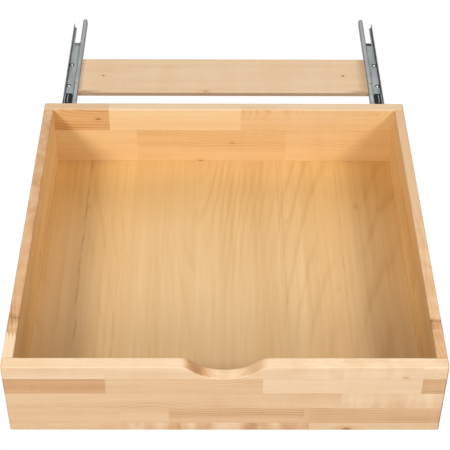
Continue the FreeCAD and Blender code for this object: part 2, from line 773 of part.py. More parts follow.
def make_right_middle_rail():
    """The middle rail: a channel with ball races on both faces of its walls and a tongue for its cap."""
    body = new_body("right_middle_rail")
    place(body, RAIL_MIDDLE, MIDDLE_FRONT)
    profile = new_sketch(body, "profile", "XZ_Plane")
    add_outline(
        profile,
        [
            (f"-{MIDDLE_OUTER_HALF}", "size.middle_foot"),
            (MIDDLE_OUTER_HALF, "size.middle_foot"),
            (MIDDLE_OUTER_HALF, "size.middle_top"),
            (MIDDLE_INNER_HALF, "size.middle_top"),
            (MIDDLE_INNER_HALF, MIDDLE_FLOOR),
            (f"-{MIDDLE_INNER_HALF}", MIDDLE_FLOOR),
            (f"-{MIDDLE_INNER_HALF}", "size.middle_top"),
            (f"-{MIDDLE_OUTER_HALF}", "size.middle_top"),
        ],
    )
    pad(body, profile, MIDDLE_LENGTH, backwards=True)
    races = new_sketch(body, "races", "XZ_Plane", "1")
    for sign in ("-", ""):
        add_circle(races, f"{sign}{LOWER_TRACK}", "size.lower_race", RACE_RADIUS)
        add_circle(races, f"{sign}{UPPER_TRACK}", "size.upper_race", RACE_RADIUS)
    pocket(body, races, WHOLE_LENGTH)
    notch = new_sketch(body, "cap_notch", "XY_Plane", "size.middle_top + 1")
    cap_start = f"({MIDDLE_LENGTH} - size.cap_length)"
    inside_wall = f"-({MIDDLE_INNER_HALF} - 0.4)"
    add_rectangle(notch, f"(-{MIDDLE_OUTER_HALF} - 1)", inside_wall, cap_start, f"({MIDDLE_LENGTH} + 1)")
    pocket(body, notch, f"(size.middle_top + 1 - {CAP_SEAT})")
    tongue = new_sketch(body, "tongue", "XZ_Plane", f"-({MIDDLE_LENGTH} - 3)")
    half_tongue = "0.5 * size.slide_steel"
    add_rectangle(tongue, f"-{half_tongue}", half_tongue, "size.middle_foot + 0.5", "size.middle_top")
    pad(body, tongue, "size.cap_tongue")
    return body


def make_right_rear_cap():
    """The black plastic cap that closes the middle rail's rear end and stops the drawer."""
    body = new_body("right_rear_cap")
    place(body, RAIL_MIDDLE, CAP_FRONT)
    play = "size.cap_play"
    inside = f"({MIDDLE_INNER_HALF} - {play} - 0.45)"
    low = f"({MIDDLE_FLOOR} + {play})"
    shelf = f"({CAP_SEAT} + {play})"
    top = "(size.middle_top - 0.3)"
    block = new_sketch(body, "block", "XZ_Plane")
    add_outline(
        block,
        [
            (f"-{inside}", low),
            (inside, low),
            (inside, top),
            (f"(-{CHANNEL_HALF} + 0.4)", top),
            (f"(-{CHANNEL_HALF} + 0.4)", shelf),
            (f"-{inside}", shelf),
        ],
    )
    pad(body, block, "size.cap_length", backwards=True)
    end = new_sketch(body, "end", "XZ_Plane", "-size.cap_length")
    add_rectangle(end, f"(-{CHANNEL_HALF} + 0.4)", f"({MIDDLE_OUTER_HALF} + 0.6)", "size.middle_foot", top)
    pad(body, end, "size.cap_end", backwards=True)
    slot = new_sketch(body, "slot", "XY_Plane", "size.middle_top + 1")
    half_slot = f"(0.5 * size.slide_steel + {play})"
    slot_start = f"(size.cap_length - 3 - size.cap_tongue - 2)"
    add_rectangle(slot, f"-{half_slot}", half_slot, slot_start, f"(size.cap_length - 3 + {play})")
    pocket(body, slot, "size.middle_top")
    return body


def make_right_drawer_rail():
    """The rail under the drawer's side: a folded stem that runs in the balls, flanges, a lug and a hook."""
    body = new_body("right_drawer_rail")
    place(body, RAIL_MIDDLE, DRAWER_RAIL_FRONT)
    stem = "(size.stem_width / 2)"
    stem_inner = f"({stem} - size.slide_steel)"
    wing = "(size.flange_width / 2)"
    profile = new_sketch(body, "profile", "XZ_Plane")
    add_outline(
        profile,
        [
            (wing, "size.drawer_lift"),
            (stem_inner, "size.drawer_lift"),
            (stem_inner, f"({STEM_FOOT} + size.slide_steel)"),
            (f"-{stem_inner}", f"({STEM_FOOT} + size.slide_steel)"),
            (f"-{stem_inner}", "size.drawer_lift"),
            (f"-{wing}", "size.drawer_lift"),
            (f"-{wing}", FLANGE_UNDER),
            (f"-{stem}", FLANGE_UNDER),
            (f"-{stem}", STEM_FOOT),
            (stem, STEM_FOOT),
            (stem, FLANGE_UNDER),
            (wing, FLANGE_UNDER),
        ],
    )
    stem_length = f"({STEM_REAR} - {DRAWER_RAIL_FRONT})"
    pad(body, profile, stem_length, backwards=True)
    races = new_sketch(body, "races", "XZ_Plane", "1")
    for sign in ("-", ""):
        add_circle(races, f"{sign}({stem} + size.ball_gap / 2)", "size.upper_race", RACE_RADIUS)
    pocket(body, races, WHOLE_LENGTH)
    add_rail_hook(body, wing, stem_length)
    lug = new_sketch(body, "lug", "YZ_Plane", f"-{wing}")
    lever_front = "size.catch_length / 2 - size.lever_width / 2 - 0.3"
    lug_rear = f"({FRONT_INNER} - {DRAWER_RAIL_FRONT} + size.catch_gap + {lever_front})"
    add_rectangle(lug, f"({lug_rear} - size.lug_length)", lug_rear, FLANGE_UNDER, LUG_TOP)
    pad(body, lug, "size.slide_steel")
    return body


def add_rail_hook(body, wing, stem_length):
    """The drawer rail's flat tail, the upright behind the drawer's back and the hook that goes into it."""
    hook_face = f"({DRAWER_BACK} - {DRAWER_RAIL_FRONT} + size.hook_gap)"
    tail = new_sketch(body, "tail", "XY_Plane", FLANGE_UNDER)
    tail_start = f"({stem_length} - size.tail_overlap)"
    add_rectangle(tail, f"-{wing}", wing, tail_start, f"({hook_face} + size.slide_steel)")
    pad(body, tail, "size.slide_steel")
    upright = new_sketch(body, "upright", "XZ_Plane", f"-{hook_face}")
    upright_top = "(size.drawer_lift + size.hook_height + size.hook_diameter)"
    add_rectangle(upright, f"-{wing}", wing, FLANGE_UNDER, upright_top)
    pad(body, upright, "size.slide_steel", backwards=True)
    hook = new_sketch(body, "hook", "XZ_Plane", f"(-{hook_face} - 0.5 * size.slide_steel)")
    add_circle(hook, "0", "(size.drawer_lift + size.hook_height)", "(size.hook_diameter / 2)")
    pad(body, hook, "size.hook_length")


def cage_body(label, y, half_outer, foot, top, length, race_height):
    """A plastic cage: a thin channel with a row of ball holes through both walls."""
    body = new_body(label)
    place(body, RAIL_MIDDLE, y)
    half_inner = f"({half_outer} - size.cage_thick)"
    floor_top = f"({foot} + size.cage_floor)"
    profile = new_sketch(body, "profile", "XZ_Plane")
    add_outline(
        profile,
        [
            (f"-{half_outer}", foot),
            (half_outer, foot),
            (half_outer, top),
            (half_inner, top),
            (half_inner, floor_top),
            (f"-{half_inner}", floor_top),
            (f"-{half_inner}", top),
            (f"-{half_outer}", top),
        ],
    )
    pad(body, profile, length, backwards=True)
    hole = new_sketch(body, "hole", "YZ_Plane", f"({half_outer} + 1)")
    add_circle(hole, first_ball(length), race_height, BALL_HOLE_RADIUS)
    drilled = pocket(body, hole, f"(2 * {half_outer} + 2)")
    row_of(body, drilled, "Y_Axis", "size.ball_pitch", BALLS_IN_ROW)
    return body


def first_ball(length):
    """Where the first ball of a row lies in its cage, so that the row is centred."""
    return f"(({length} - {BALLS_IN_ROW - 1} * size.ball_pitch) / 2)"


def ball_places(cage_front, length, half_track, height):
    """Both rows of balls in one cage."""
    places = []
    for sign in ("-", "+"):
        for step in range(BALLS_IN_ROW):
            x = f"({RAIL_MIDDLE} {sign} {half_track})"
            y = f"({cage_front} + {first_ball(length)} + {step} * size.ball_pitch)"
            places.append((x, y, height))
    return places


LOWER_CAGE_FRONT = f"(({RAIL_FRONT} + {MIDDLE_REAR} - size.lower_cage_length) / 2)"
UPPER_CAGE_FRONT = f"(({MIDDLE_FRONT} + {STEM_REAR} - size.upper_cage_length) / 2)"


def make_cages():
    """The lower cage between fixed and middle rail, and the upper cage between middle and drawer rail."""
    lower = cage_body(
        "right_lower_cage",
        LOWER_CAGE_FRONT,
        f"({LOWER_TRACK} + size.cage_thick / 2)",
        LOWER_CAGE_FOOT,
        f"(size.lower_race + {CAGE_TOP_MARGIN})",
        "size.lower_cage_length",
        "size.lower_race",
    )
    upper = cage_body(
        "right_upper_cage",
        UPPER_CAGE_FRONT,
        f"({UPPER_TRACK} + size.cage_thick / 2)",
        UPPER_CAGE_FOOT,
        f"(size.upper_race + {CAGE_TOP_MARGIN})",
        "size.upper_cage_length",
        "size.upper_race",
    )
    return lower, upper


def make_balls():
    """The steel balls of the two right-hand cages."""
    ball = doc.addObject("Part::Sphere", "ball_master")
    ball.setExpression("Radius", "size.ball_diameter / 2")
    lower = group_of(
        "right_lower_balls",
        ball,
        ball_places(LOWER_CAGE_FRONT, "size.lower_cage_length", LOWER_TRACK, "size.lower_race"),
    )
    upper = group_of(
        "right_upper_balls",
        ball,
        ball_places(UPPER_CAGE_FRONT, "size.upper_cage_length", UPPER_TRACK, "size.upper_race"),
    )
    return lower, upper


# ---------------------------------------------------------------- cross board


BOARD_SCREW_X = f"({BOARD_END} - size.bracket_reach / 2)"
BOARD_SCREW_STEP = "(size.rivet_spacing * 0.4)"


def make_cross_board():
    """The flat board that ties the two fixed rails together behind the drawer."""
    body = new_body("cross_board")
    place(body, y=BOARD_FRONT)
    plank = new_sketch(body, "plank", "YZ_Plane", f"-{BOARD_END}")
    add_rectangle(plank, "0", "size.board_depth", "0", "size.board_thick")
    pad(body, plank, f"(2 * {BOARD_END})")
    round_edges(body, "size.board_arris", lambda edge: runs_along(edge, ALONG_X), "arris")
    holes = new_sketch(body, "holes", "XY_Plane", "size.board_thick")
    inset = f"({BOARD_END} - size.board_hole_inset)"
    for sign in ("-", ""):
        add_circle(holes, f"{sign}{inset}", "size.board_depth / 2", "(size.board_hole / 2)")
    pocket(body, holes, "size.board_thick + 1")
    pilots = new_sketch(body, "pilots", "XY_Plane")
    for x, y, _ in board_screw_places():
        add_circle(pilots, x, f"({y} - {BOARD_FRONT})", TIGHT_SCREW_RADIUS)
    pocket(body, pilots, "size.board_thick - 1.2", backwards=True)
    return body


def board_screw_places():
    """The four screws that hold the brackets to the board."""
    places = []
    for sign in ("-", ""):
        for side in ("-", "+"):
            y = f"({RIVET_MIDDLE} {side} {BOARD_SCREW_STEP})"
            places.append((f"{sign}{BOARD_SCREW_X}", y, "-size.rail_steel"))
    return places


def make_right_board_bracket():
    """The steel plate under the rail and the board's end, riveted to one and screwed to the other."""
    body = new_body("right_board_bracket")
    place(body, y=RIVET_MIDDLE, z="-size.rail_steel")
    plate = new_sketch(body, "plate", "XY_Plane")
    outer = f"({HALF_WIDTH} - size.rail_inset)"
    inner = f"({BOARD_END} - size.bracket_reach)"
    half = "(size.bracket_length / 2)"
    add_rectangle(plate, inner, outer, f"-{half}", half)
    pad(body, plate, "size.rail_steel")
    inner_x = number(inner)
    round_edges(
        body,
        "size.bracket_corner",
        lambda edge: runs_along(edge, ALONG_Z) and near(middle_of(edge).x, inner_x),
        "corners",
    )
    holes = new_sketch(body, "holes", "XY_Plane", "size.rail_steel")
    for sign in ("-", ""):
        add_circle(
            holes,
            f"({RAIL_MIDDLE} + {RIVET_X})",
            f"{sign}(size.rivet_spacing / 2)",
            RIVET_HOLE_RADIUS,
        )
        add_circle(holes, BOARD_SCREW_X, f"{sign}{BOARD_SCREW_STEP}", EASY_SCREW_RADIUS)
    pocket(body, holes, "size.rail_steel + 1")
    return body


def turned_master(name, outline):
    """A piece of revolution about Z, from its half outline of (radius, height) pairs."""
    body = new_body(name)
    half = new_sketch(body, "half", "XZ_Plane")
    add_outline(half, outline)
    turned = body.newObject("PartDesign::Revolution", f"{name}_turned")
    turned.Profile = half
    turned.ReferenceAxis = (half, ["V_Axis"])
    turned.Angle = 360
    doc.recompute()
    return body


def make_rivets():
    """Four rivets through the rails' webs and the brackets, with low domed heads in the dishes."""
    seat = "(0.6 * size.rail_steel)"
    dome = f"({LOWER_CAGE_FOOT} - 0.25)"
    rim = f"({seat} + size.rivet_rim)"
    shank = "(size.rivet_diameter / 2)"
    head = "(size.rivet_head / 2)"
    tail_foot = "(-size.rail_steel - size.rivet_tail)"
    master = turned_master(
        "rivet_master",
        [
            ("0", tail_foot),
            (f"({shank} + 0.5)", tail_foot),
            (f"({shank} + 1)", "(-size.rail_steel - size.rivet_tail / 2)"),
            (f"({shank} + 1)", "-size.rail_steel"),
            (shank, "-size.rail_steel"),
            (shank, seat),
            (head, seat),
            (head, rim),
            (f"({head} * 0.82)", f"({rim} + 0.62 * ({dome} - {rim}))"),
            (f"({head} * 0.48)", f"({rim} + 0.91 * ({dome} - {rim}))"),
            ("0", dome),
        ],
    )
    places = []
    for sign in ("-", ""):
        for y in (RIVET_FRONT, f"({RIVET_FRONT} + size.rivet_spacing)"):
            places.append((f"{sign}({RAIL_MIDDLE} + {RIVET_X})", y, "0"))
    return group_of("bracket_rivets", master, places)


def screw_master(name, length):
    """A pan-head wood screw, point up, with its head's seat at height zero and a cross recess."""
    shank = "(size.wood_screw / 2)"
    head = "(size.screw_head / 2)"
    crown = "-size.screw_head_height"
    body = turned_master(
        name,
        [
            ("0", crown),
            (f"(0.6 * {head})", crown),
            (head, f"(0.55 * {crown})"),
            (head, "0"),
            (shank, "0"),
            (shank, f"({length} - size.screw_point)"),
            ("0", length),
        ],
    )
    cross = new_sketch(body, "cross", "XY_Plane", crown)
    arm, half = "(size.recess_span / 2)", "(size.recess_width / 2)"
    corners = [
        (f"-{arm}", f"-{half}"),
        (f"-{half}", f"-{half}"),
        (f"-{half}", f"-{arm}"),
        (half, f"-{arm}"),
        (half, f"-{half}"),
        (arm, f"-{half}"),
        (arm, half),
        (half, half),
        (half, arm),
        (f"-{half}", arm),
        (f"-{half}", half),
        (f"-{arm}", half),
    ]
    add_outline(cross, corners)
    pocket(body, cross, "size.recess_depth", backwards=True)
    return body


# ---------------------------------------------------------------- front catches


CATCH_FRONT = f"({FRONT_INNER} + size.catch_gap)"
CATCH_MIDDLE = f"({CATCH_FRONT} + size.catch_length / 2)"
FLANGE_INNER = f"({RAIL_MIDDLE} - size.flange_width / 2)"
PIVOT_X = f"({FLANGE_INNER} - size.catch_width + size.catch_overhang)"
CATCH_SCREW_STEP = "(size.catch_length / 2 - size.catch_screw_inset)"


def catch_screw_places():
    """Two screws through each catch into the bottom panel."""
    places = []
    for sign in ("-", ""):
        for side in ("-", "+"):
            y = f"({CATCH_MIDDLE} {side} {CATCH_SCREW_STEP})"
            places.append((f"{sign}{PIVOT_X}", y, CATCH_UNDER))
    return places


def make_right_catch():
    """The plastic catch block under the bottom panel, with the pivot that carries the release lever."""
    body = new_body("right_catch")
    place(body, PIVOT_X, CATCH_MIDDLE, CATCH_UNDER)
    half_width = "(size.catch_width / 2)"
    half_length = "(size.catch_length / 2)"
    block = new_sketch(body, "block", "XY_Plane")
    add_rectangle(block, f"-{half_width}", half_width, f"-{half_length}", half_length)
    pad(body, block, "size.catch_thick")
    round_edges(body, "size.catch_corner", lambda edge: runs_along(edge, ALONG_Z), "corners")
    pivot = new_sketch(body, "pivot", "XY_Plane", "size.pivot_root")
    add_circle(pivot, "0", "0", "(size.pivot_diameter / 2)")
    pad(body, pivot, "(size.lever_thick + size.pivot_root + 0.7)", backwards=True)
    head = new_sketch(body, "pivot_head", "XY_Plane", "(-size.lever_thick - 0.7)")
    add_circle(head, "0", "0", "(size.pivot_diameter / 2 + size.pivot_lip)")
    pad(body, head, "size.pivot_lip", backwards=True)
    holes = new_sketch(body, "holes", "XY_Plane", "size.catch_thick")
    for sign in ("-", ""):
        add_circle(holes, "0", f"{sign}{CATCH_SCREW_STEP}", EASY_SCREW_RADIUS)
    pocket(body, holes, "size.catch_thick + 1")
    return body


def make_right_release_lever():
    """The release lever: its nose sits behind the rail's lug, its grip points to the drawer's middle."""
    body = new_body("right_release_lever")
    place(body, PIVOT_X, CATCH_MIDDLE, f"({CATCH_UNDER} - size.lever_thick - 0.2)")
    half = "(size.lever_width / 2)"
    nose = f"({FLANGE_INNER} - {PIVOT_X} + size.slide_steel + 0.4)"
    grip = "size.lever_grip"
    tip = f"(-{grip} - size.lever_tip)"
    plate = new_sketch(body, "plate", "XY_Plane")
    add_outline(
        plate,
        [
            (nose, f"-{half}"),
            (nose, "0"),
            (f"({nose} - size.lever_tip)", half),
            (f"-{grip}", f"({half} + size.lever_flare)"),
            (tip, f"({half} - size.lever_flare / 2)"),
            (tip, f"(-{half} + size.lever_flare / 2)"),
            (f"-{grip}", f"(-{half} - size.lever_flare)"),
            (f"(-{grip} / 4)", f"-{half}"),
        ],
    )
    pad(body, plate, "size.lever_thick")
    hole = new_sketch(body, "hole", "XY_Plane", "size.lever_thick")
    add_circle(hole, "0", "0", "(size.pivot_diameter / 2 + size.pivot_play)")
    pocket(body, hole, "size.lever_thick + 1")
    return body


# ---------------------------------------------------------------- whole object


def make_all():
    """Every sub-part, in the order in which the object is put together."""
    right_side = make_right_side()
    lower_cage, upper_cage = make_cages()
    lower_balls, upper_balls = make_balls()
    right_hand = [
        right_side,
        make_right_fixed_rail(),
        make_right_middle_rail(),
        make_right_rear_cap(),
        make_right_drawer_rail(),
        lower_cage,
        lower_balls,
        upper_cage,
        upper_balls,
        make_right_board_bracket(),
        make_right_catch(),
        make_right_release_lever(),
    ]
    left_hand = [mirrored(piece, piece.Label.replace("right_", "left_")) for piece in right_hand]
    board_screw = screw_master("board_screw_master", "(size.board_thick - 0.4)")
    catch_screw = screw_master("catch_screw_master", "(size.catch_thick + size.panel_thick - 2.5)")
    middle = [
        make_drawer_front(),
        make_drawer_back(),
        make_bottom_panel(),
        make_corner_dowels(),
        make_cross_board(),
        make_rivets(),
        group_of("board_screws", board_screw, board_screw_places()),
        group_of("catch_screws", catch_screw, catch_screw_places()),
    ]
    return middle + right_hand + left_hand


def check(pieces):
    """Stops if any object of the document failed, or a sub-part is not a sound solid."""
    for item in doc.Objects:
        if "Invalid" in item.State or "Error" in item.State:
            raise RuntimeError(f"{item.Name} failed: {item.State}")
    for piece in pieces:
        shape = piece.Shape
        if shape.isNull() or not shape.isValid() or not shape.Solids:
            raise RuntimeError(f"{piece.Label} is not a sound solid")


parts = make_all()
doc.recompute()
check(parts)
os.makedirs("parts", exist_ok=True)
for part in parts:
    part.Shape.exportStep(os.path.join("parts", f"{part.Label}.step"))
    box = part.Shape.BoundBox
    print(
        f"{part.Label:22s} {len(part.Shape.Solids):3d} solids {part.Shape.Volume / 1000:9.2f} cm3",
        f"x {box.XMin:7.1f} {box.XMax:7.1f}  y {box.YMin:7.1f} {box.YMax:7.1f}",
        f"z {box.ZMin:6.1f} {box.ZMax:6.1f}",
    )
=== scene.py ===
"""Finishes and stage for a pull-out drawer of solid beech on ball-bearing rails."""

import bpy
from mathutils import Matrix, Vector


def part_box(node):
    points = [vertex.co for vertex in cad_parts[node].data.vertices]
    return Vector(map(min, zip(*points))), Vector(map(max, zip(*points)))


bl_info = {
    "name": "Beech Drawer Finishes",
    "version": (1, 0, 0),
    "blender": (4, 5, 0),
    "location": "3D View > Sidebar > Drawer",
    "description": "Gives the boards, rails and fittings of a pull-out drawer their finishes and lights them",
    "category": "Material",
}

import math

import bpy
from bpy.props import FloatProperty, FloatVectorProperty, PointerProperty
from mathutils import Matrix, Vector

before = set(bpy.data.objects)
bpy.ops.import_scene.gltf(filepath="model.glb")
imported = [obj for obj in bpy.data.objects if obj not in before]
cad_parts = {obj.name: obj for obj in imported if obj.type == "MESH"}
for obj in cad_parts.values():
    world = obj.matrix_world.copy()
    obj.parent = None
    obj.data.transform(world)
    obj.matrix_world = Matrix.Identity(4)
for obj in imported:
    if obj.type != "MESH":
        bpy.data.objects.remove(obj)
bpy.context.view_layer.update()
MM = 0.001


def corner_values(node):
    """The lowest and highest corner of a piece, in metres."""
    low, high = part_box(node)
    return tuple(low), tuple(high)


FRONT_LOW, FRONT_HIGH = corner_values("drawer_front")
BACK_LOW, BACK_HIGH = corner_values("drawer_back")
SIDE_LOW, SIDE_HIGH = corner_values("right_side")
PANEL_HIGH = corner_values("bottom_panel")[1]
CROSS_LOW, CROSS_HIGH = corner_values("cross_board")
RAIL_HIGH = corner_values("right_fixed_rail")[1]
RIM = FRONT_HIGH[2]
WEB_SETBACK = 0.075  # from the rails' rear tips to the end of their webs
WEB_END_SHADE_MIDDLE = 0.286  # from the middle of the drawer to the middle of the painted shade at a web's end
# Half the width of the painted shade at a web's end.
WEB_END_SHADE_HALF_WIDTH = 0.0075
RIVET_RADIUS = 0.0031


# ------------------------------------------------------------------ sizes and colours


def colour_property(name, description, default):
    """A colour that the sidebar shows as a swatch."""
    return FloatVectorProperty(
        name=name, description=description, default=default, size=3, subtype="COLOR", min=0, max=1
    )


def share_property(name, description, default):
    """A number from 0 to 1."""
    return FloatProperty(name=name, description=description, default=default, min=0, max=1, subtype="FACTOR")


def length_property(name, description, default):
    """A length in metres."""
    return FloatProperty(
        name=name, description=description, default=default, subtype="DISTANCE", unit="LENGTH"
    )


class BeechLook(bpy.types.PropertyGroup):
    """Colours and figure of the solid beech boards."""

    pale: colour_property("Pale stave", "Colour of the palest staves", (0.86, 0.65, 0.43))
    tan: colour_property("Tan stave", "Colour of the usual staves", (0.76, 0.505, 0.29))
    ruddy: colour_property("Ruddy stave", "Colour of the ruddy staves", (0.64, 0.36, 0.17))
    brown: colour_property("Brown heart", "Colour of brown heartwood and knots", (0.36, 0.16, 0.058))
    # Painted light: a paler, brighter beech for the cross board, standing in for the stronger light that
    # falls on it.
    lit_cross_board: colour_property("Lit Cross Board", "Colour of the newly planed cross board", (0.94, 0.68, 0.435))
    # Darkens the cross board towards its ends at the rails, and paints shade on its front edge and front
    # corners.
    dark_ends_and_shade: colour_property("Dark Ends and Shade", "How grease has stained the cross board at the rails", (0.46, 0.40, 0.36))
    # Painted shade: the front board's shadow on the inside faces near the front.
    front_shade: colour_property("Front Shade", "Tint of the inside near the front, from handling", (0.77, 0.72, 0.68))
    # Painted warm bounce light and shade on the faces inside the box, stronger deeper down and near the
    # sides.
    inside: colour_property("Inside", "How the faces inside the box have yellowed", (1.0, 0.91, 0.52))
    ring_gap: length_property("Ring gap", "Distance between two growth rings", 0.0042)
    polish: share_property("Polish", "How smooth the oiled surface is", 0.5)


class PlyLook(bpy.types.PropertyGroup):
    """Colours of the birch plywood bottom."""

    pale: colour_property("Pale birch", "Colour of the pale veneer", (0.75, 0.52, 0.27))
    tan: colour_property("Tan birch", "Colour of the darker veneer", (0.64, 0.40, 0.17))
    streak: colour_property("Streak", "Colour of the brown mineral streaks", (0.38, 0.19, 0.075))
    # Painted warm bounce light and shade on the veneer, stronger towards the back and the sides.
    wall_bounce: colour_property("Wall Bounce", "How the veneer has yellowed at the back and sides", (0.97, 0.84, 0.55))


class MetalLook(bpy.types.PropertyGroup):
    """Colours of the zinc-plated steel."""

    zinc: colour_property("Zinc", "Colour of the rails' plating", (0.60, 0.63, 0.64))
    dull: colour_property("Dull zinc", "Colour of the plating's dull patches", (0.46, 0.485, 0.49))
    # Paints the real grease in the races, and also painted shade round the rivets, along the outer lip and at
    # the webs' ends.
    grease_and_shade: colour_property("Grease and Shade", "Colour of the old grease in the races", (0.07, 0.065, 0.06))
    screw: colour_property("Screw", "Colour of screws and rivets", (0.90, 0.92, 0.95))
    ball: colour_property("Ball", "Colour of the bearing balls", (0.80, 0.81, 0.83))
    smoothness: share_property("Smoothness", "How smooth the rails' plating is", 0.62)


class PlasticLook(bpy.types.PropertyGroup):
    """Colours of the moulded plastic pieces."""

    black: colour_property("Black", "Colour of cages, caps and levers", (0.012, 0.012, 0.013))
    grey: colour_property("Grey", "Colour of the catch blocks", (0.10, 0.105, 0.11))
    grain: length_property("Grain", "Size of the moulded texture", 0.0006)


class StageLook(bpy.types.PropertyGroup):
    """Floor, lights and backdrop."""

    floor_drop: length_property("Floor drop", "How far the floor is below the rails", 0.62)
    floor: colour_property("Floor", "Colour of the floor", (0.92, 0.92, 0.92))
    ambient: FloatProperty(
        name="Ambient", description="Strength of the light from all around", default=0.05, min=0
    )
    power: FloatProperty(name="Power", description="Power of all softboxes together", default=0.92, min=0)
    lens: FloatProperty(name="Lens", description="Focal length in millimetres", default=101.45, min=1)


LOOKS = {
    "drawer_beech": BeechLook,
    "drawer_ply": PlyLook,
    "drawer_metal": MetalLook,
    "drawer_plastic": PlasticLook,
    "drawer_stage": StageLook,
}


# ------------------------------------------------------------------ node helpers


class Wiring:
    """Adds nodes to one node tree, in rows, and links them as they come."""

    def __init__(self, tree):
        self.tree = tree

    def add(self, kind, inputs=None, **settings):
        """A new node with its settings and its inputs, which are values or other nodes' outputs."""
        count = len(self.tree.nodes)
        node = self.tree.nodes.new(kind)
        node.location = (count % 10 * 200, -(count // 10) * 260)
        for name, value in settings.items():
            setattr(node, name, value)
        for name, value in (inputs or {}).items():
            self.feed(node.inputs[name], value)
        return node

    def feed(self, socket, value):
        """Links an output to an input, or sets the input's value."""
        if isinstance(value, bpy.types.NodeSocket):
            self.tree.links.new(value, socket)
        elif hasattr(socket.default_value, "__len__") and len(socket.default_value) == 4 and len(value) == 3:
            socket.default_value = (*value, 1)
        else:
            socket.default_value = value

    def math(self, operation, first, second=0.0, clamp=False):
        """One sum of two numbers."""
        node = self.add("ShaderNodeMath", {0: first, 1: second}, operation=operation, use_clamp=clamp)
        return node.outputs[0]

    def mix(self, factor, first, second, blend="MIX"):
        """A blend of two colours."""
        node = self.add("ShaderNodeMix", data_type="RGBA", blend_type=blend, clamp_factor=True)
        self.feed(node.inputs[0], factor)
        self.feed(node.inputs[6], first)
        self.feed(node.inputs[7], second)
        return node.outputs[2]

    def noise(self, vector, scale=1.0, detail=2.0, roughness=0.5, distortion=0.0):
        """Smooth noise from 0 to 1."""
        inputs = {
            "Vector": vector,
            "Scale": scale,
            "Detail": detail,
            "Roughness": roughness,
            "Distortion": distortion,
        }
        return self.add("ShaderNodeTexNoise", inputs).outputs[0]

    def vector(self, x, y, z):
        """A vector from three numbers."""
        return self.add("ShaderNodeCombineXYZ", {"X": x, "Y": y, "Z": z}).outputs[0]

    def parts(self, vector):
        """The three numbers of a vector."""
        return self.add("ShaderNodeSeparateXYZ", {0: vector}).outputs[:]

    def stretch(self, vector, factors):
        """A vector with each axis multiplied by its own factor."""
        node = self.add("ShaderNodeVectorMath", {0: vector, 1: factors}, operation="MULTIPLY")
        return node.outputs[0]

    def move(self, vector, offset):
        """A vector plus another."""
        return self.add("ShaderNodeVectorMath", {0: vector, 1: offset}, operation="ADD").outputs[0]

    def remap(self, value, low, high, to_low=0.0, to_high=1.0, smooth=True):
        """A number brought from one range to another, and held inside it."""
        node = self.add(
            "ShaderNodeMapRange",
            {"Value": value, "From Min": low, "From Max": high, "To Min": to_low, "To Max": to_high},
            interpolation_type="SMOOTHSTEP" if smooth else "LINEAR",
        )
        return node.outputs[0]

    def ramp(self, value, stops, interpolation="LINEAR"):
        """A colour looked up from stops of (place, colour)."""
        node = self.add("ShaderNodeValToRGB", {0: value})
        elements = node.color_ramp.elements
        node.color_ramp.interpolation = interpolation
        while len(elements) > 1:
            elements.remove(elements[-1])
        elements[0].position = stops[0][0]
        elements[0].color = (*stops[0][1], 1)
        for place, colour in stops[1:]:
            elements.new(place).color = (*colour, 1)
        return node.outputs[0]

    def group(self, tree, inputs):
        """A node group with its inputs, and its outputs by name."""
        node = self.add("ShaderNodeGroup", node_tree=tree)
        for name, value in inputs.items():
            self.feed(node.inputs[name], value)
        return node.outputs

    def object_place(self):
        """The point on the piece, in metres."""
        return self.add("ShaderNodeTexCoord").outputs["Object"]


def new_group(name, inputs, outputs):
    """An empty node group: its wiring, its inputs by name and the node that takes its outputs."""
    tree = bpy.data.node_groups.new(name, "ShaderNodeTree")
    for socket_name, kind, default in inputs:
        socket = tree.interface.new_socket(name=socket_name, in_out="INPUT", socket_type=kind)
        if default is not None:
            socket.default_value = default
    for socket_name, kind in outputs:
        tree.interface.new_socket(name=socket_name, in_out="OUTPUT", socket_type=kind)
    wiring = Wiring(tree)
    source = wiring.add("NodeGroupInput").outputs
    target = wiring.add("NodeGroupOutput").inputs
    return tree, wiring, source, target


def new_material(name):
    """A material with one Principled shader: its wiring and that shader."""
    material = bpy.data.materials.new(name)
    material.use_nodes = True
    material.node_tree.nodes.clear()
    wiring = Wiring(material.node_tree)
    shader = wiring.add("ShaderNodeBsdfPrincipled")
    wiring.add("ShaderNodeOutputMaterial", {"Surface": shader.outputs[0]})
    return material, wiring, shader


def give(node, material):
    """Puts a material on a piece of the frame."""
    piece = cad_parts.get(node)
    if piece is None:
        raise RuntimeError(f"the frame has no piece named {node}")
    piece.data.materials.clear()
    piece.data.materials.append(material)
    for face in piece.data.polygons:
        face.material_index = 0


# ------------------------------------------------------------------ shared effects

NUMBER, PLACE = "NodeSocketFloat", "NodeSocketVector"


def shared(name, build):
    """A node group that is built once and used by every material that needs it."""
    return bpy.data.node_groups.get(name) or build(name)


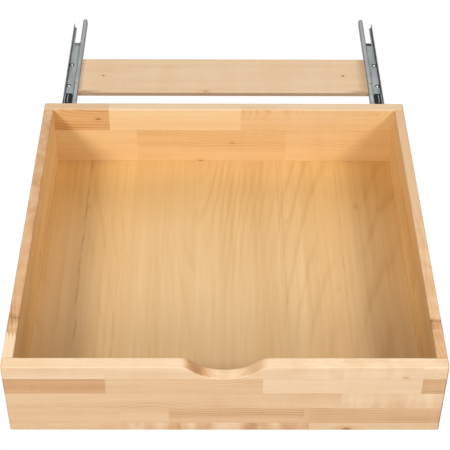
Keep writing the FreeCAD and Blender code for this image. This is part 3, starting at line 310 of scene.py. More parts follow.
def build_timber_figure(name):
    """Growth rings, fibre, soft streaks, curl and ray flecks of one stave sawn from a log."""
    tree, w, source, target = new_group(
        name,
        [
            ("Place", PLACE, None),
            ("Seed", NUMBER, 0.5),
            ("Cathedral", NUMBER, 0.5),
            ("Ring Gap", NUMBER, 0.004),
        ],
        [("Rings", NUMBER), ("Fibre", NUMBER), ("Streaks", NUMBER), ("Curl", NUMBER), ("Flecks", NUMBER)],
    )
    seed = source["Seed"]
    chance = w.add("ShaderNodeTexWhiteNoise", {"W": w.math("MULTIPLY", seed, 91.7)}, noise_dimensions="1D")
    first, second, third = w.add("ShaderNodeSeparateColor", {0: chance.outputs["Color"]}).outputs[:]
    shift = w.vector(
        w.math("MULTIPLY", first, 9.0), w.math("MULTIPLY", second, 5.0), w.math("MULTIPLY", third, 7.0)
    )
    place = w.move(source["Place"], shift)
    across, depth = w.parts(source["Place"])[1:]
    far_along = w.parts(place)[0]

    # The log's heart lies below the face, and leans, so the rings come out as arches along it.
    cathedral = source["Cathedral"]
    plain = w.math("SUBTRACT", 1.0, cathedral)
    wander = w.noise(w.stretch(place, (7, 22, 22)), detail=0.5)
    sway = w.math("MULTIPLY", w.math("SUBTRACT", wander, 0.5), 0.013)
    slow = w.noise(w.vector(w.math("MULTIPLY", far_along, 4.6), 0.0, 0.0), detail=0.0)
    lean = w.math("MULTIPLY", w.math("SUBTRACT", slow, 0.5), w.math("MULTIPLY", cathedral, 0.22))
    side = w.math("MULTIPLY", w.math("POWER", plain, 2.0), 0.10)
    side = w.math("ADD", side, w.math("MULTIPLY", w.math("SUBTRACT", second, 0.5), 0.02))
    y = w.math("ADD", w.math("ADD", across, side), sway)
    z = w.math("ADD", w.math("ADD", depth, 0.03), w.math("ADD", lean, sway))
    radius = w.math("SQRT", w.math("ADD", w.math("MULTIPLY", y, y), w.math("MULTIPLY", z, z)))
    turns = w.math("FRACT", w.math("DIVIDE", radius, source["Ring Gap"]))
    ring = w.ramp(turns, [(0.0, (0, 0, 0)), (0.5, (0.18,) * 3), (0.86, (1, 1, 1)), (1.0, (0.05,) * 3)])
    weight = w.noise(w.stretch(place, (3, 40, 40)), detail=1.0)
    w.feed(target["Rings"], w.math("MULTIPLY", ring, w.remap(weight, 0.3, 0.7)))

    w.feed(target["Fibre"], w.noise(w.stretch(place, (7, 420, 420)), detail=3.0, roughness=0.65))
    w.feed(target["Streaks"], w.noise(w.stretch(place, (2.4, 55, 55)), detail=2.5, roughness=0.6))
    w.feed(target["Curl"], w.noise(w.stretch(place, (34, 9, 30)), detail=1.5, distortion=0.6))
    fleck = w.noise(w.stretch(place, (330, 2100, 2100)), detail=0.0)
    w.feed(target["Flecks"], w.remap(fleck, 0.66, 0.74))
    return tree


def build_knot(name):
    """A small knot: a dark eye with rings that draw the grain round it."""
    tree, w, source, target = new_group(
        name,
        [("Place", PLACE, None), ("Middle", PLACE, None), ("Size", NUMBER, 0.006), ("Length", NUMBER, 2.2)],
        [("Mask", NUMBER), ("Halo", NUMBER)],
    )
    away = w.add("ShaderNodeVectorMath", {0: source["Place"], 1: source["Middle"]}, operation="SUBTRACT")
    x, y, z = w.parts(away.outputs[0])
    x = w.math("DIVIDE", x, source["Length"])
    flat = w.vector(x, y, w.math("MULTIPLY", z, 0.1))
    ragged = w.noise(w.stretch(away.outputs[0], (160, 420, 60)), detail=2.0)
    distance = w.add("ShaderNodeVectorMath", {0: flat}, operation="LENGTH").outputs["Value"]
    spread = w.math("DIVIDE", distance, source["Size"])
    spread = w.math("ADD", spread, w.math("MULTIPLY", w.math("SUBTRACT", ragged, 0.5), 0.9))
    w.feed(target["Mask"], w.remap(spread, 0.25, 0.75, 1.0, 0.0))
    w.feed(target["Halo"], w.remap(spread, 0.6, 2.6, 1.0, 0.0))
    return tree


def build_mineral_streak(name):
    """A thin, wandering, broken line along the grain."""
    tree, w, source, target = new_group(
        name,
        [
            ("Along", NUMBER, 0.0),
            ("Across", NUMBER, 0.0),
            ("Line", NUMBER, 0.0),
            ("Wander", NUMBER, 0.01),
            ("Width", NUMBER, 0.0012),
            ("Seed", NUMBER, 0.0),
        ],
        [("Mask", NUMBER)],
    )
    along, seed = source["Along"], source["Seed"]
    bend = w.noise(w.vector(w.math("MULTIPLY", along, 5.5), seed, 0.0), detail=2.5, roughness=0.6)
    line = w.math("ADD", source["Line"], w.math("MULTIPLY", w.math("SUBTRACT", bend, 0.5), source["Wander"]))
    gap = w.math("ABSOLUTE", w.math("SUBTRACT", source["Across"], line))
    body = w.remap(w.math("DIVIDE", gap, source["Width"]), 0.0, 1.0, 1.0, 0.0)
    beat = w.noise(w.vector(w.math("MULTIPLY", along, 26.0), w.math("ADD", seed, 8.0), 0.0), detail=3.0)
    w.feed(target["Mask"], w.math("MULTIPLY", body, w.remap(beat, 0.36, 0.68, 0.12, 1.0)))
    return tree


def build_handling(name):
    """Faint smudges and fine dust on a surface, as a small change of roughness."""
    tree, w, source, target = new_group(
        name,
        [("Place", PLACE, None), ("Size", NUMBER, 0.03)],
        [("Smudge", NUMBER), ("Dust", NUMBER)],
    )
    scale = w.math("DIVIDE", 1.0, source["Size"])
    smudge = w.add("ShaderNodeTexNoise", {"Vector": source["Place"], "Scale": scale, "Detail": 3.0})
    w.feed(target["Smudge"], w.remap(smudge.outputs[0], 0.35, 0.7))
    fine = w.math("MULTIPLY", scale, 45.0)
    dust = w.add("ShaderNodeTexNoise", {"Vector": source["Place"], "Scale": fine, "Detail": 2.0})
    w.feed(target["Dust"], w.remap(dust.outputs[0], 0.56, 0.76))
    return tree


def build_box_interior(name):
    """Where a face looks into the box: how much painted warm bounce light and shade it gets, and how much
    painted shade of the front board falls on it near the front.
    """
    tree, w, source, target = new_group(
        name,
        [("Place", PLACE, None)],
        [("Bounce Shade", NUMBER), ("Front Shade", NUMBER)],
    )
    x, y, z = w.parts(source["Place"])
    skin = 0.0004
    across = w.math("LESS_THAN", w.math("ABSOLUTE", x), SIDE_LOW[0] + skin)
    behind = w.math("GREATER_THAN", y, FRONT_HIGH[1] - skin)
    before = w.math("LESS_THAN", y, BACK_LOW[1] + skin)
    inside = w.math("MULTIPLY", across, w.math("MULTIPLY", behind, before))
    below_rim = w.math("SUBTRACT", RIM, z)
    inside = w.math("MULTIPLY", inside, w.remap(below_rim, 0.0006, 0.004))
    # Painted warm bounce light and shade: some everywhere inside, more deeper below the rim and near the
    # sides.
    to_side = w.math("MULTIPLY", w.remap(w.math("ABSOLUTE", x), SIDE_LOW[0] - 0.12, SIDE_LOW[0]), 0.2)
    deeper = w.math("MULTIPLY", w.remap(below_rim, 0.0, 0.08), 0.2)
    amount = w.math("ADD", w.math("ADD", deeper, 0.35), to_side)
    w.feed(target["Bounce Shade"], w.math("MULTIPLY", inside, amount))
    # Painted shade of the front board, strongest just behind it and gone 300 mm further back.
    near_front = w.remap(y, FRONT_HIGH[1] + 0.02, FRONT_HIGH[1] + 0.30, 1.0, 0.0)
    w.feed(target["Front Shade"], w.math("MULTIPLY", inside, near_front))
    return tree


# ------------------------------------------------------------------ beech boards

# A board is glued up from rows of staves. Each stave is (end, tone, cathedral, curl): the place in
# millimetres where it ends along the board, how dark it is, how arched its figure is, and how wavy.
# Each row is (lower edge below the rim in millimetres, its staves).

FRONT_STAVES = [
    (23.3, [(89, 0.20, 0.35, 0.1), (300, 0.14, 0.5, 0.34)]),
    (
        52.5,
        [(-164, 0.66, 0.12, 0.03), (50, 0.40, 0.55, 0.05), (265, 0.16, 0.3, 0.08), (300, 0.58, 0.3, 0.35)],
    ),
    (83.5, [(-40, 0.33, 0.9, 0.05), (158, 0.40, 0.75, 0.1), (300, 0.26, 0.3, 0.38)]),
    (115, [(-79, 0.37, 0.3, 0.05), (110, 0.46, 0.45, 0.05), (300, 0.50, 0.2, 0.08)]),
    (130, [(-146, 0.40, 0.3, 0.1), (115, 0.44, 0.3, 1.0), (300, 0.30, 0.4, 0.1)]),
]
BACK_STAVES = [
    (43, [(-193, 0.46, 0.6, 0.05), (27, 0.06, 0.25, 0.02), (300, 0.22, 0.95, 0.1)]),
    (112, [(-148, 0.26, 0.2, 0.02), (105, 0.30, 0.9, 0.05), (300, 0.28, 0.8, 0.12)]),
    (130, [(-60, 0.25, 0.3, 0.1), (190, 0.42, 0.4, 0.1), (300, 0.2, 0.3, 0.1)]),
]
LEFT_STAVES = [
    (2.6, [(-563, 0.10, 0.2, 0.0), (-285, 0.56, 0.4, 0.35), (-43, 0.54, 0.4, 0.5)]),
    (38, [(-420, 0.28, 0.4, 0.1), (-200, 0.36, 0.4, 0.1), (-43, 0.31, 0.4, 0.1)]),
    (80, [(-470, 0.41, 0.5, 0.1), (-260, 0.32, 0.6, 0.1), (-43, 0.23, 0.4, 0.1)]),
    (130, [(-350, 0.26, 0.6, 0.1), (-150, 0.36, 0.5, 0.1), (-43, 0.29, 0.3, 0.1)]),
]
RIGHT_STAVES = [
    (2.6, [(-547, 0.50, 0.4, 0.35), (-527, 0.62, 0.3, 0.2), (-330, 0.38, 0.3, 0.35), (-43, 0.36, 0.3, 0.1)]),
    (38, [(-460, 0.32, 0.4, 0.1), (-260, 0.38, 0.4, 0.1), (-43, 0.30, 0.4, 0.1)]),
    (80, [(-400, 0.30, 0.4, 0.1), (-190, 0.40, 0.7, 0.1), (-43, 0.34, 0.4, 0.1)]),
    (130, [(-480, 0.38, 0.5, 0.1), (-240, 0.26, 0.6, 0.1), (-43, 0.33, 0.4, 0.1)]),
]
CROSS_STAVES = [(200, [(273, 0.05, 0.35, 0.12)])]


def board_place(w, along_axis, rim, run_low):
    """The point on a board as distance along it, below its rim and into its thickness."""
    x, y, z = w.parts(w.object_place())
    if along_axis == "X":
        return x, w.math("SUBTRACT", rim, z), w.math("SUBTRACT", y, run_low)
    return y, w.math("SUBTRACT", rim, z), w.math("SUBTRACT", x, run_low)


def pick_stave(w, along, below, rows, low, high):
    """The tone, cathedral and curl of the stave at a point, as one colour."""
    share = w.remap(along, low, high, smooth=False)
    picked = None
    for edge, staves in reversed(rows):
        stops = []
        start = low
        for end, tone, cathedral, curl in staves:
            stops.append(((start - low) / (high - low), (tone, cathedral, curl)))
            start = end * MM
        row = w.ramp(share, stops, "CONSTANT")
        if picked is None:
            picked = row
        else:
            picked = w.mix(w.math("LESS_THAN", below, edge * MM), picked, row)
    return picked


def top_edge(w):
    """1 on faces that look up, 0 on faces that look sideways."""
    up = w.parts(w.add("ShaderNodeTexCoord").outputs["Normal"])[2]
    return w.remap(up, 0.6, 0.95)


def end_grain_and_side_shade(w):
    """Darker where a face leans sideways, as in the hand grip: partly end grain, partly painted shade that
    makes faces turned to +X darker than faces turned to -X.
    """
    lean = w.parts(w.add("ShaderNodeTexCoord").outputs["Normal"])[0]
    left = w.remap(lean, 0.1, 0.55, 0.0, 0.62)
    right = w.remap(lean, -0.55, -0.1, 0.26, 0.0)
    return w.math("ADD", left, right)


def glue_lines(w, below, rows):
    """A hair-thin line where two rows of staves are glued together."""
    line = 0.0
    for edge, _ in rows[:-1]:
        gap = w.math("ABSOLUTE", w.math("SUBTRACT", below, edge * MM))
        line = w.math("MAXIMUM", line, w.remap(gap, 0.0, 0.0005, 1.0, 0.0))
    return line


def beech_shader(w, shader, place, picked, extra_dark=None, glue=0.0, interior=None, sheen_top_tone=None, tint=None):
    """Colours a beech surface from the stave at each point and the timber's own figure."""
    look = bpy.context.scene.drawer_beech
    tone, cathedral, curl = w.add("ShaderNodeSeparateColor", {0: picked}).outputs[:]
    # Up-facing faces drawn in one even, paler tone: partly hides the stave joints, partly painted sheen.
    if sheen_top_tone is not None:
        tone = w.add("ShaderNodeMix", {0: w.math("MULTIPLY", top_edge(w), 0.75), 2: tone, 3: sheen_top_tone}).outputs[0]
    seed = w.add("ShaderNodeTexWhiteNoise", {"Vector": picked}, noise_dimensions="3D").outputs["Value"]
    figure = w.group(
        shared("Timber Figure", build_timber_figure),
        {"Place": place, "Seed": seed, "Cathedral": cathedral},
    )
    figure["Rings"].node.inputs["Ring Gap"].default_value = look.ring_gap
    depth = tone
    ring_strength = w.math("MULTIPLY", figure["Rings"], w.remap(tone, 0.1, 0.75, 0.14, 0.42))
    ring_strength = w.math("MULTIPLY", ring_strength, w.math("ADD", w.math("MULTIPLY", cathedral, 0.9), 0.7))
    depth = w.math("ADD", depth, ring_strength)
    depth = w.math("ADD", depth, w.math("MULTIPLY", w.math("SUBTRACT", figure["Streaks"], 0.5), 0.42))
    depth = w.math("ADD", depth, w.math("MULTIPLY", w.math("SUBTRACT", figure["Fibre"], 0.5), 0.22))
    waves = w.math("MULTIPLY", w.math("SUBTRACT", figure["Curl"], 0.5), curl)
    depth = w.math("ADD", depth, w.math("MULTIPLY", waves, 1.9))
    depth = w.math("ADD", depth, w.math("MULTIPLY", figure["Flecks"], 0.10))
    depth = w.math("ADD", depth, w.math("MULTIPLY", glue, 0.14))
    if extra_dark is not None:
        depth = w.math("ADD", depth, extra_dark)
    colour = w.ramp(
        depth,
        [(0.0, look.pale), (0.34, look.tan), (0.66, look.ruddy), (1.0, look.brown)],
    )
    # Painted warm bounce light and shade inside the box, and painted shade of the front board near the front.
    if interior is not None:
        colour = w.mix(interior["Bounce Shade"], colour, w.mix(1.0, colour, look.inside, "MULTIPLY"))
        colour = w.mix(interior["Front Shade"], colour, w.mix(1.0, colour, look.front_shade, "MULTIPLY"))
    if tint is not None:
        colour = w.mix(1.0, colour, tint, "MULTIPLY")
    w.feed(shader.inputs["Base Color"], colour)

    handling = w.group(shared("Handling", build_handling), {"Place": place, "Size": 0.05})
    rough = w.remap(figure["Fibre"], 0.2, 0.8, 0.62 - 0.3 * look.polish, 0.72 - 0.3 * look.polish)
    rough = w.math("ADD", rough, w.math("MULTIPLY", handling["Smudge"], 0.05))
    w.feed(shader.inputs["Roughness"], rough)
    shader.inputs["Specular IOR Level"].default_value = 0.38
    raised = w.math("MULTIPLY", figure["Fibre"], 0.7)
    height = w.math("ADD", raised, w.math("MULTIPLY", figure["Flecks"], -0.5))
    bump = w.add("ShaderNodeBump", {"Height": height, "Distance": 0.00006, "Strength": 0.6})
    w.feed(shader.inputs["Normal"], bump.outputs[0])


def knots(w, place, marks):
    """The darkening from a few small knots, each (along, below, into, size, strength) in millimetres."""
    dark = 0.0
    for along, below, into, size, strength in marks:
        knot = w.group(
            shared("Small Knot", build_knot),
            {"Place": place, "Middle": (along * MM, below * MM, into * MM), "Size": size * MM},
        )
        dark = w.math("ADD", dark, w.math("MULTIPLY", knot["Mask"], strength))
        dark = w.math("ADD", dark, w.math("MULTIPLY", knot["Halo"], strength * 0.22))
    return dark


def board_material(name, along_axis, box, rows, marks=(), finger=0.0, sheen_top_tone=None):
    """Beech glued up from staves, with straight ends on the faces and fingers on the edges."""
    low, high = box
    run = 0 if along_axis == "X" else 1
    material, w, shader = new_material(name)
    along, below, into = board_place(w, along_axis, RIM, low[1 - run])
    if finger:
        tooth = w.add("ShaderNodeMath", {0: into, 1: 0.0025}, operation="PINGPONG").outputs[0]
        sought = w.math("SUBTRACT", along, w.math("MULTIPLY", tooth, finger / 0.0025))
    else:
        sought = along
    picked = pick_stave(w, sought, below, rows, low[run], high[run])
    place = w.vector(along, below, into)
    dark = knots(w, place, marks) if marks else 0.0
    # Faces leaning sideways darken: partly end grain, partly painted shade on the hand grip's slopes.
    if along_axis == "X":
        dark = w.math("ADD", end_grain_and_side_shade(w), dark)
    interior = w.group(shared("Box Interior", build_box_interior), {"Place": w.object_place()})
    beech_shader(w, shader, place, picked, dark, glue_lines(w, below, rows), interior, sheen_top_tone)
    return material


def cross_board_material(name):
    """One plain-sawn beech plank, darker towards its ends where it meets the rails, with painted shade on its
    front edge and front corners and painted light making it paler.
    """
    material, w, shader = new_material(name)
    x, y, z = w.parts(w.object_place())
    place = w.vector(x, w.math("SUBTRACT", y, CROSS_LOW[1]), w.math("SUBTRACT", CROSS_HIGH[2], z))
    picked = pick_stave(w, x, w.math("SUBTRACT", y, CROSS_LOW[1]), CROSS_STAVES, CROSS_LOW[0], CROSS_HIGH[0])
    look = bpy.context.scene.drawer_beech
    # Darker towards the ends where the rails meet the board, reaching further at the right-hand end.
    to_end = w.math("SUBTRACT", CROSS_HIGH[0], w.math("ABSOLUTE", x))
    right = w.remap(x, -0.01, 0.01)
    reach = w.remap(right, 0.0, 1.0, 0.009, 0.022)
    dark_ends_and_shade = w.math("MULTIPLY", w.remap(w.math("DIVIDE", to_end, reach), 0.0, 1.0, 1.0, 0.0), 0.6)
    # Painted shade under the drawer's back: on the front corners near the ends and on the front-facing edge.
    under = w.remap(w.math("SUBTRACT", y, CROSS_LOW[1]), 0.0, 0.012, 1.0, 0.0)
    corner = w.math("MULTIPLY", under, w.remap(to_end, 0.004, 0.055, 0.9, 0.0))
    edge = w.remap(w.parts(w.add("ShaderNodeTexCoord").outputs["Normal"])[1], -0.9, -0.4, 0.95, 0.0)
    dark_ends_and_shade = w.math("MAXIMUM", dark_ends_and_shade, w.math("MAXIMUM", corner, edge))
    # Painted light: the beech made paler and brighter for the stronger light on the cross board.
    lit_beech = w.mix(1.0, look.lit_cross_board, (1 / look.pale[0], 1 / look.pale[1], 1 / look.pale[2]), "MULTIPLY")
    tint = w.mix(dark_ends_and_shade, lit_beech, look.dark_ends_and_shade)
    marks = knots(w, place, [(-33, 4, 0, 5, 0.5), (228.5, 55, 0, 4, 0.25), (-228.5, 55, 0, 4, 0.2)])
    beech_shader(w, shader, place, picked, marks, tint=tint)
    return material


class DRAWER_OT_finish_front(bpy.types.Operator):
    """Finish the drawer's front board"""

    bl_idname = "drawer.finish_front"
    bl_label = "Finish Front"

    def execute(self, context):
        marks = [(243, 20, 0, 4.5, 0.35), (171, 129, 0, 5, 0.95)]
        box = (FRONT_LOW, FRONT_HIGH)
        give("drawer_front", board_material("Beech Front", "X", box, FRONT_STAVES, marks, sheen_top_tone=0.12))
        return {"FINISHED"}


class DRAWER_OT_finish_back(bpy.types.Operator):
    """Finish the drawer's back board"""

    bl_idname = "drawer.finish_back"
    bl_label = "Finish Back"

    def execute(self, context):
        marks = [(-211, 20, 0, 3.5, 0.5), (14, 71, 0, 4, 0.2), (-40, 109, 0, 2.5, 0.6)]
        box = (BACK_LOW, BACK_HIGH)
        give("drawer_back", board_material("Beech Back", "X", box, BACK_STAVES, marks, sheen_top_tone=0.16))
        return {"FINISHED"}


class DRAWER_OT_finish_sides(bpy.types.Operator):
    """Finish the two side boards"""

    bl_idname = "drawer.finish_sides"
    bl_label = "Finish Sides"

    def execute(self, context):
        left_box = corner_values("left_side")
        left_marks = [(-315, 77, 15, 3.5, 0.6), (-522, 3, 8, 5, 0.25)]
        left = board_material("Beech Left Side", "Y", left_box, LEFT_STAVES, left_marks, finger=0.015)
        give("left_side", left)
        right_marks = [(-528, 2, 8, 4, 0.3)]
        right_box = (SIDE_LOW, SIDE_HIGH)
        give("right_side", board_material("Beech Right Side", "Y", right_box, RIGHT_STAVES, right_marks))
        return {"FINISHED"}


class DRAWER_OT_finish_cross_board(bpy.types.Operator):
    """Finish the board between the rails, and the dowels"""

    bl_idname = "drawer.finish_cross_board"
    bl_label = "Finish Cross Board"

    def execute(self, context):
        give("cross_board", cross_board_material("Beech Cross Board"))
        material, w, shader = new_material("Beech Dowel")
        x, y, z = w.parts(w.object_place())
        tones = [(0, (0.3, 0.2, 0.0)), (0.6, (0.4, 0.2, 0.0))]
        picked = w.ramp(w.remap(z, 0.0, 0.15, smooth=False), tones, "CONSTANT")
        beech_shader(w, shader, w.vector(y, z, x), picked)
        give("corner_dowels", material)
        return {"FINISHED"}


# ------------------------------------------------------------------ plywood bottom

# Brown streaks in the veneer: (place across, wander, width, strength) in millimetres.
PLY_STREAKS = [
    (-226, 20, 2.2, 0.75),
    (-166, 16, 1.8, 0.30),
    (-252, 22, 1.6, 0.25),
    (90, 9, 1.3, 0.35),
    (97, 14, 1.2, 0.28),
    (148, 8, 1.6, 0.35),
    (189, 10, 1.6, 0.38),
    (236, 18, 1.8, 0.22),
]


def ply_arches(w, across, along):
    """Nested arches of rotary-cut veneer, open towards the back."""
    place = w.vector(across, along, 0.0)
    drift = w.noise(w.stretch(place, (5.0, 1.4, 1)), detail=1.0, roughness=0.4)
    waver = w.noise(w.stretch(place, (42, 5, 1)), detail=2.0, roughness=0.5)
    off = w.math("ADD", across, 0.042)
    squared = w.math("MULTIPLY", off, off)
    rise = w.math("MULTIPLY", squared, 1500.0)
    bowl = w.math("DIVIDE", rise, w.math("ADD", w.math("MULTIPLY", squared, 90.0), 1.0))
    level = w.math("ADD", w.math("MULTIPLY", drift, 3.2), bowl)
    level = w.math("ADD", level, w.math("MULTIPLY", waver, 0.55))
    level = w.math("SUBTRACT", level, w.math("MULTIPLY", along, 8.0))
    turns = w.math("FRACT", level)
    line = w.ramp(turns, [(0.0, (0, 0, 0)), (0.55, (0.06,) * 3), (0.82, (0.9,) * 3), (1.0, (0.0,) * 3)])
    fade = w.noise(w.stretch(place, (11, 3, 1)), detail=1.0)
    return w.math("MULTIPLY", line, w.remap(fade, 0.42, 0.70, 0.04, 0.8))


def ply_material(name):
    """Birch plywood with its face grain from front to back."""
    look = bpy.context.scene.drawer_ply
    material, w, shader = new_material(name)
    x, y, z = w.parts(w.object_place())
    place = w.vector(y, x, z)
    depth = w.math("MULTIPLY", ply_arches(w, x, y), 0.85)
    fibre = w.noise(w.stretch(place, (6, 520, 520)), detail=3.0, roughness=0.7)
    bands = w.noise(w.stretch(place, (1.3, 26, 26)), detail=3.0, roughness=0.6)
    threads = w.noise(w.stretch(place, (3.5, 130, 130)), detail=2.0, roughness=0.6)
    cloud = w.noise(w.stretch(place, (4.0, 7.0, 4.0)), detail=2.0)
    depth = w.math("ADD", depth, w.math("MULTIPLY", w.math("SUBTRACT", fibre, 0.5), 0.42))
    depth = w.math("ADD", depth, w.math("MULTIPLY", w.math("SUBTRACT", bands, 0.5), 1.2))
    depth = w.math("ADD", depth, w.math("MULTIPLY", w.math("SUBTRACT", threads, 0.5), 1.1))
    depth = w.math("ADD", depth, w.math("MULTIPLY", w.math("SUBTRACT", cloud, 0.5), 0.55))
    depth = w.math("ADD", depth, 0.36)
    colour = w.ramp(depth, [(0.0, look.pale), (1.0, look.tan)])
    # Painted warm bounce light and shade, stronger towards the back and the sides.
    backward = w.remap(y, FRONT_HIGH[1] + 0.1, BACK_LOW[1])
    sideward = w.remap(w.math("ABSOLUTE", x), 0.10, SIDE_LOW[0])
    wall_bounce = w.math("ADD", w.math("MULTIPLY", backward, 0.6), w.math("MULTIPLY", sideward, 0.4), clamp=True)
    colour = w.mix(wall_bounce, colour, w.mix(1.0, colour, look.wall_bounce, "MULTIPLY"))
    # Painted shade of the front board near the front.
    interior = w.group(shared("Box Interior", build_box_interior), {"Place": w.object_place()})
    front_shade = bpy.context.scene.drawer_beech.front_shade
    colour = w.mix(interior["Front Shade"], colour, w.mix(1.0, colour, front_shade, "MULTIPLY"))
    pores = w.noise(w.stretch(place, (95, 1500, 1500)), detail=0.0)
    pores = w.math("MULTIPLY", w.remap(pores, 0.68, 0.78), 0.14)
    dark = pores
    for index, (line, wander, width, strength) in enumerate(PLY_STREAKS):
        streak = w.group(
            shared("Mineral Streak", build_mineral_streak),
            {
                "Along": y,
                "Across": x,
                "Line": line * MM,
                "Wander": wander * MM,
                "Width": width * MM,
                "Seed": index * 3.7,
            },
        )
        dark = w.math("MAXIMUM", dark, w.math("MULTIPLY", streak["Mask"], strength))
    eyes = [(-162, 218.5, 2.5, 0.7), (-355, 177, 3.0, 0.25), (-163, -223, 2.5, 0.5), (-200, 103, 2.0, 0.4)]
    for along, across, size, strength in eyes:
        knot = w.group(
            shared("Small Knot", build_knot),
            {"Place": place, "Middle": (along * MM, across * MM, PANEL_HIGH[2]), "Size": size * MM},
        )
        dark = w.math("MAXIMUM", dark, w.math("MULTIPLY", knot["Mask"], strength))
        dark = w.math("MAXIMUM", dark, w.math("MULTIPLY", knot["Halo"], strength * 0.35))
    colour = w.mix(dark, colour, look.streak)
    w.feed(shader.inputs["Base Color"], colour)
    handling = w.group(shared("Handling", build_handling), {"Place": place, "Size": 0.08})
    rough = w.math("ADD", w.math("MULTIPLY", fibre, 0.16), w.math("MULTIPLY", handling["Smudge"], 0.06))
    w.feed(shader.inputs["Roughness"], w.math("ADD", rough, 0.34))
    shader.inputs["Specular IOR Level"].default_value = 0.4
    bump = w.add("ShaderNodeBump", {"Height": fibre, "Distance": 0.00005, "Strength": 0.5})
    w.feed(shader.inputs["Normal"], bump.outputs[0])
    return material


class DRAWER_OT_finish_bottom(bpy.types.Operator):
    """Finish the plywood bottom"""

    bl_idname = "drawer.finish_bottom"
    bl_label = "Finish Bottom"

    def execute(self, context):
        give("bottom_panel", ply_material("Birch Plywood"))
        return {"FINISHED"}


# ------------------------------------------------------------------ steel


def rivet_dish_shade(w, x, y, z):
    """Painted shade in the dishes round the rivet heads, as dark rings."""
    low, high = corner_values("bracket_rivets")
    head = RIVET_RADIUS
    sideways = w.math("SUBTRACT", w.math("ABSOLUTE", x), high[0] - head)
    near = 1.0
    for place in (low[1] + head, high[1] - head):
        away = w.math("SUBTRACT", y, place)
        squares = w.math("ADD", w.math("POWER", away, 2.0), w.math("POWER", sideways, 2.0))
        near = w.math("MINIMUM", near, w.math("SQRT", squares))
    ring = w.remap(near, head + 0.0014, head + 0.0026, 0.97, 0.0)
    return w.math("MULTIPLY", ring, w.math("LESS_THAN", z, 0.003))


def lip_shade(w, x, y, z):
    """Painted shade along the foot and the inner face of the rail's outer lip."""
    lip = w.remap(w.math("ABSOLUTE", x), RAIL_HIGH[0] - 0.0029, RAIL_HIGH[0] - 0.0021)
    lip = w.math("MULTIPLY", lip, w.math("LESS_THAN", w.math("ABSOLUTE", x), RAIL_HIGH[0] - 0.0007))
    lip = w.math("MULTIPLY", lip, w.math("LESS_THAN", z, RAIL_HIGH[2] - 0.0004))
    patchy = w.noise(w.stretch(w.vector(x, y, z), (60, 9, 60)), detail=2.0)
    return w.math("MULTIPLY", lip, w.remap(patchy, 0.3, 0.65, 0.5, 0.92))


def web_end_shade(w, x, y, z):
    """Painted shade and dark reflection in a band where the web ends, stronger on the right-hand rail."""
    web_end = RAIL_HIGH[1] - WEB_SETBACK
    ragged = w.noise(w.vector(w.math("MULTIPLY", x, 400.0), 0.0, 0.0), detail=2.0)
    start = w.math("SUBTRACT", w.math("SUBTRACT", web_end, 0.007), w.math("MULTIPLY", ragged, 0.003))
    band = w.remap(w.math("SUBTRACT", y, start), 0.0, 0.002)
    aside = w.math("ABSOLUTE", w.math("SUBTRACT", w.math("ABSOLUTE", x), WEB_END_SHADE_MIDDLE))
    on_web = w.math("LESS_THAN", aside, WEB_END_SHADE_HALF_WIDTH)
    band = w.math("MULTIPLY", band, w.math("MULTIPLY", on_web, w.math("LESS_THAN", y, web_end + 0.001)))
    band = w.math("MULTIPLY", band, w.math("LESS_THAN", z, 0.004))
    return w.math("MULTIPLY", band, w.remap(x, -0.01, 0.01, 0.4, 0.85))


def zinc_material(name, greasy_and_shaded=False):
    """Zinc-plated rolled steel: drawn lines along the rail and dull patches; on the fixed rails also dark old
    lubricant in the races, with painted shade round the rivet heads, along the outer lip and at the webs'
    ends.
    """
    look = bpy.context.scene.drawer_metal
    material, w, shader = new_material(name)
    place = w.object_place()
    x, y, z = w.parts(place)
    lines = w.noise(w.stretch(place, (900, 6, 900)), detail=2.0, roughness=0.6)
    patches = w.noise(w.stretch(place, (60, 16, 60)), detail=3.0, roughness=0.65)
    bloom = w.math("ADD", w.math("MULTIPLY", lines, 0.35), w.math("MULTIPLY", patches, 0.75))
    colour = w.mix(w.remap(bloom, 0.38, 0.72), look.zinc, look.dull)
    handling = w.group(shared("Handling", build_handling), {"Place": place, "Size": 0.02})
    colour = w.mix(w.math("MULTIPLY", handling["Dust"], 0.18), colour, look.screw)
    rough = w.remap(bloom, 0.35, 0.75, 0.72 - 0.5 * look.smoothness, 0.92 - 0.5 * look.smoothness)
    if greasy_and_shaded:
        race = w.remap(w.math("ABSOLUTE", w.math("SUBTRACT", z, 0.006)), 0.0011, 0.0021, 1.0, 0.0)
        inside = w.math("SUBTRACT", w.math("ABSOLUTE", x), 0.28975)
        race = w.math("MULTIPLY", race, w.remap(w.math("ABSOLUTE", inside), 0.0073, 0.0077, 0.0, 1.0))
        race = w.math("MULTIPLY", race, w.remap(w.math("ABSOLUTE", inside), 0.0088, 0.0091, 1.0, 0.0))
        smear = w.noise(w.stretch(place, (200, 12, 200)), detail=2.0)
        race = w.math("MULTIPLY", race, w.remap(smear, 0.25, 0.6, 0.35, 0.9))
        # Real grease in the races, with painted shade round the rivets, at the webs' ends and along the lip,
        # all in one dark colour.
        grease_and_shade_mask = w.math("MAXIMUM", race, w.math("MAXIMUM", rivet_dish_shade(w, x, y, z), web_end_shade(w, x, y, z)))
        grease_and_shade_mask = w.math("MAXIMUM", grease_and_shade_mask, lip_shade(w, x, y, z))
        colour = w.mix(grease_and_shade_mask, colour, look.grease_and_shade)
        rough = w.math("SUBTRACT", rough, w.math("MULTIPLY", race, 0.15))
    w.feed(shader.inputs["Base Color"], colour)
    w.feed(shader.inputs["Roughness"], rough)
    shader.inputs["Metallic"].default_value = 0.6
    bump = w.add("ShaderNodeBump", {"Height": lines, "Distance": 0.00002, "Strength": 0.35})
    w.feed(shader.inputs["Normal"], bump.outputs[0])
    return material


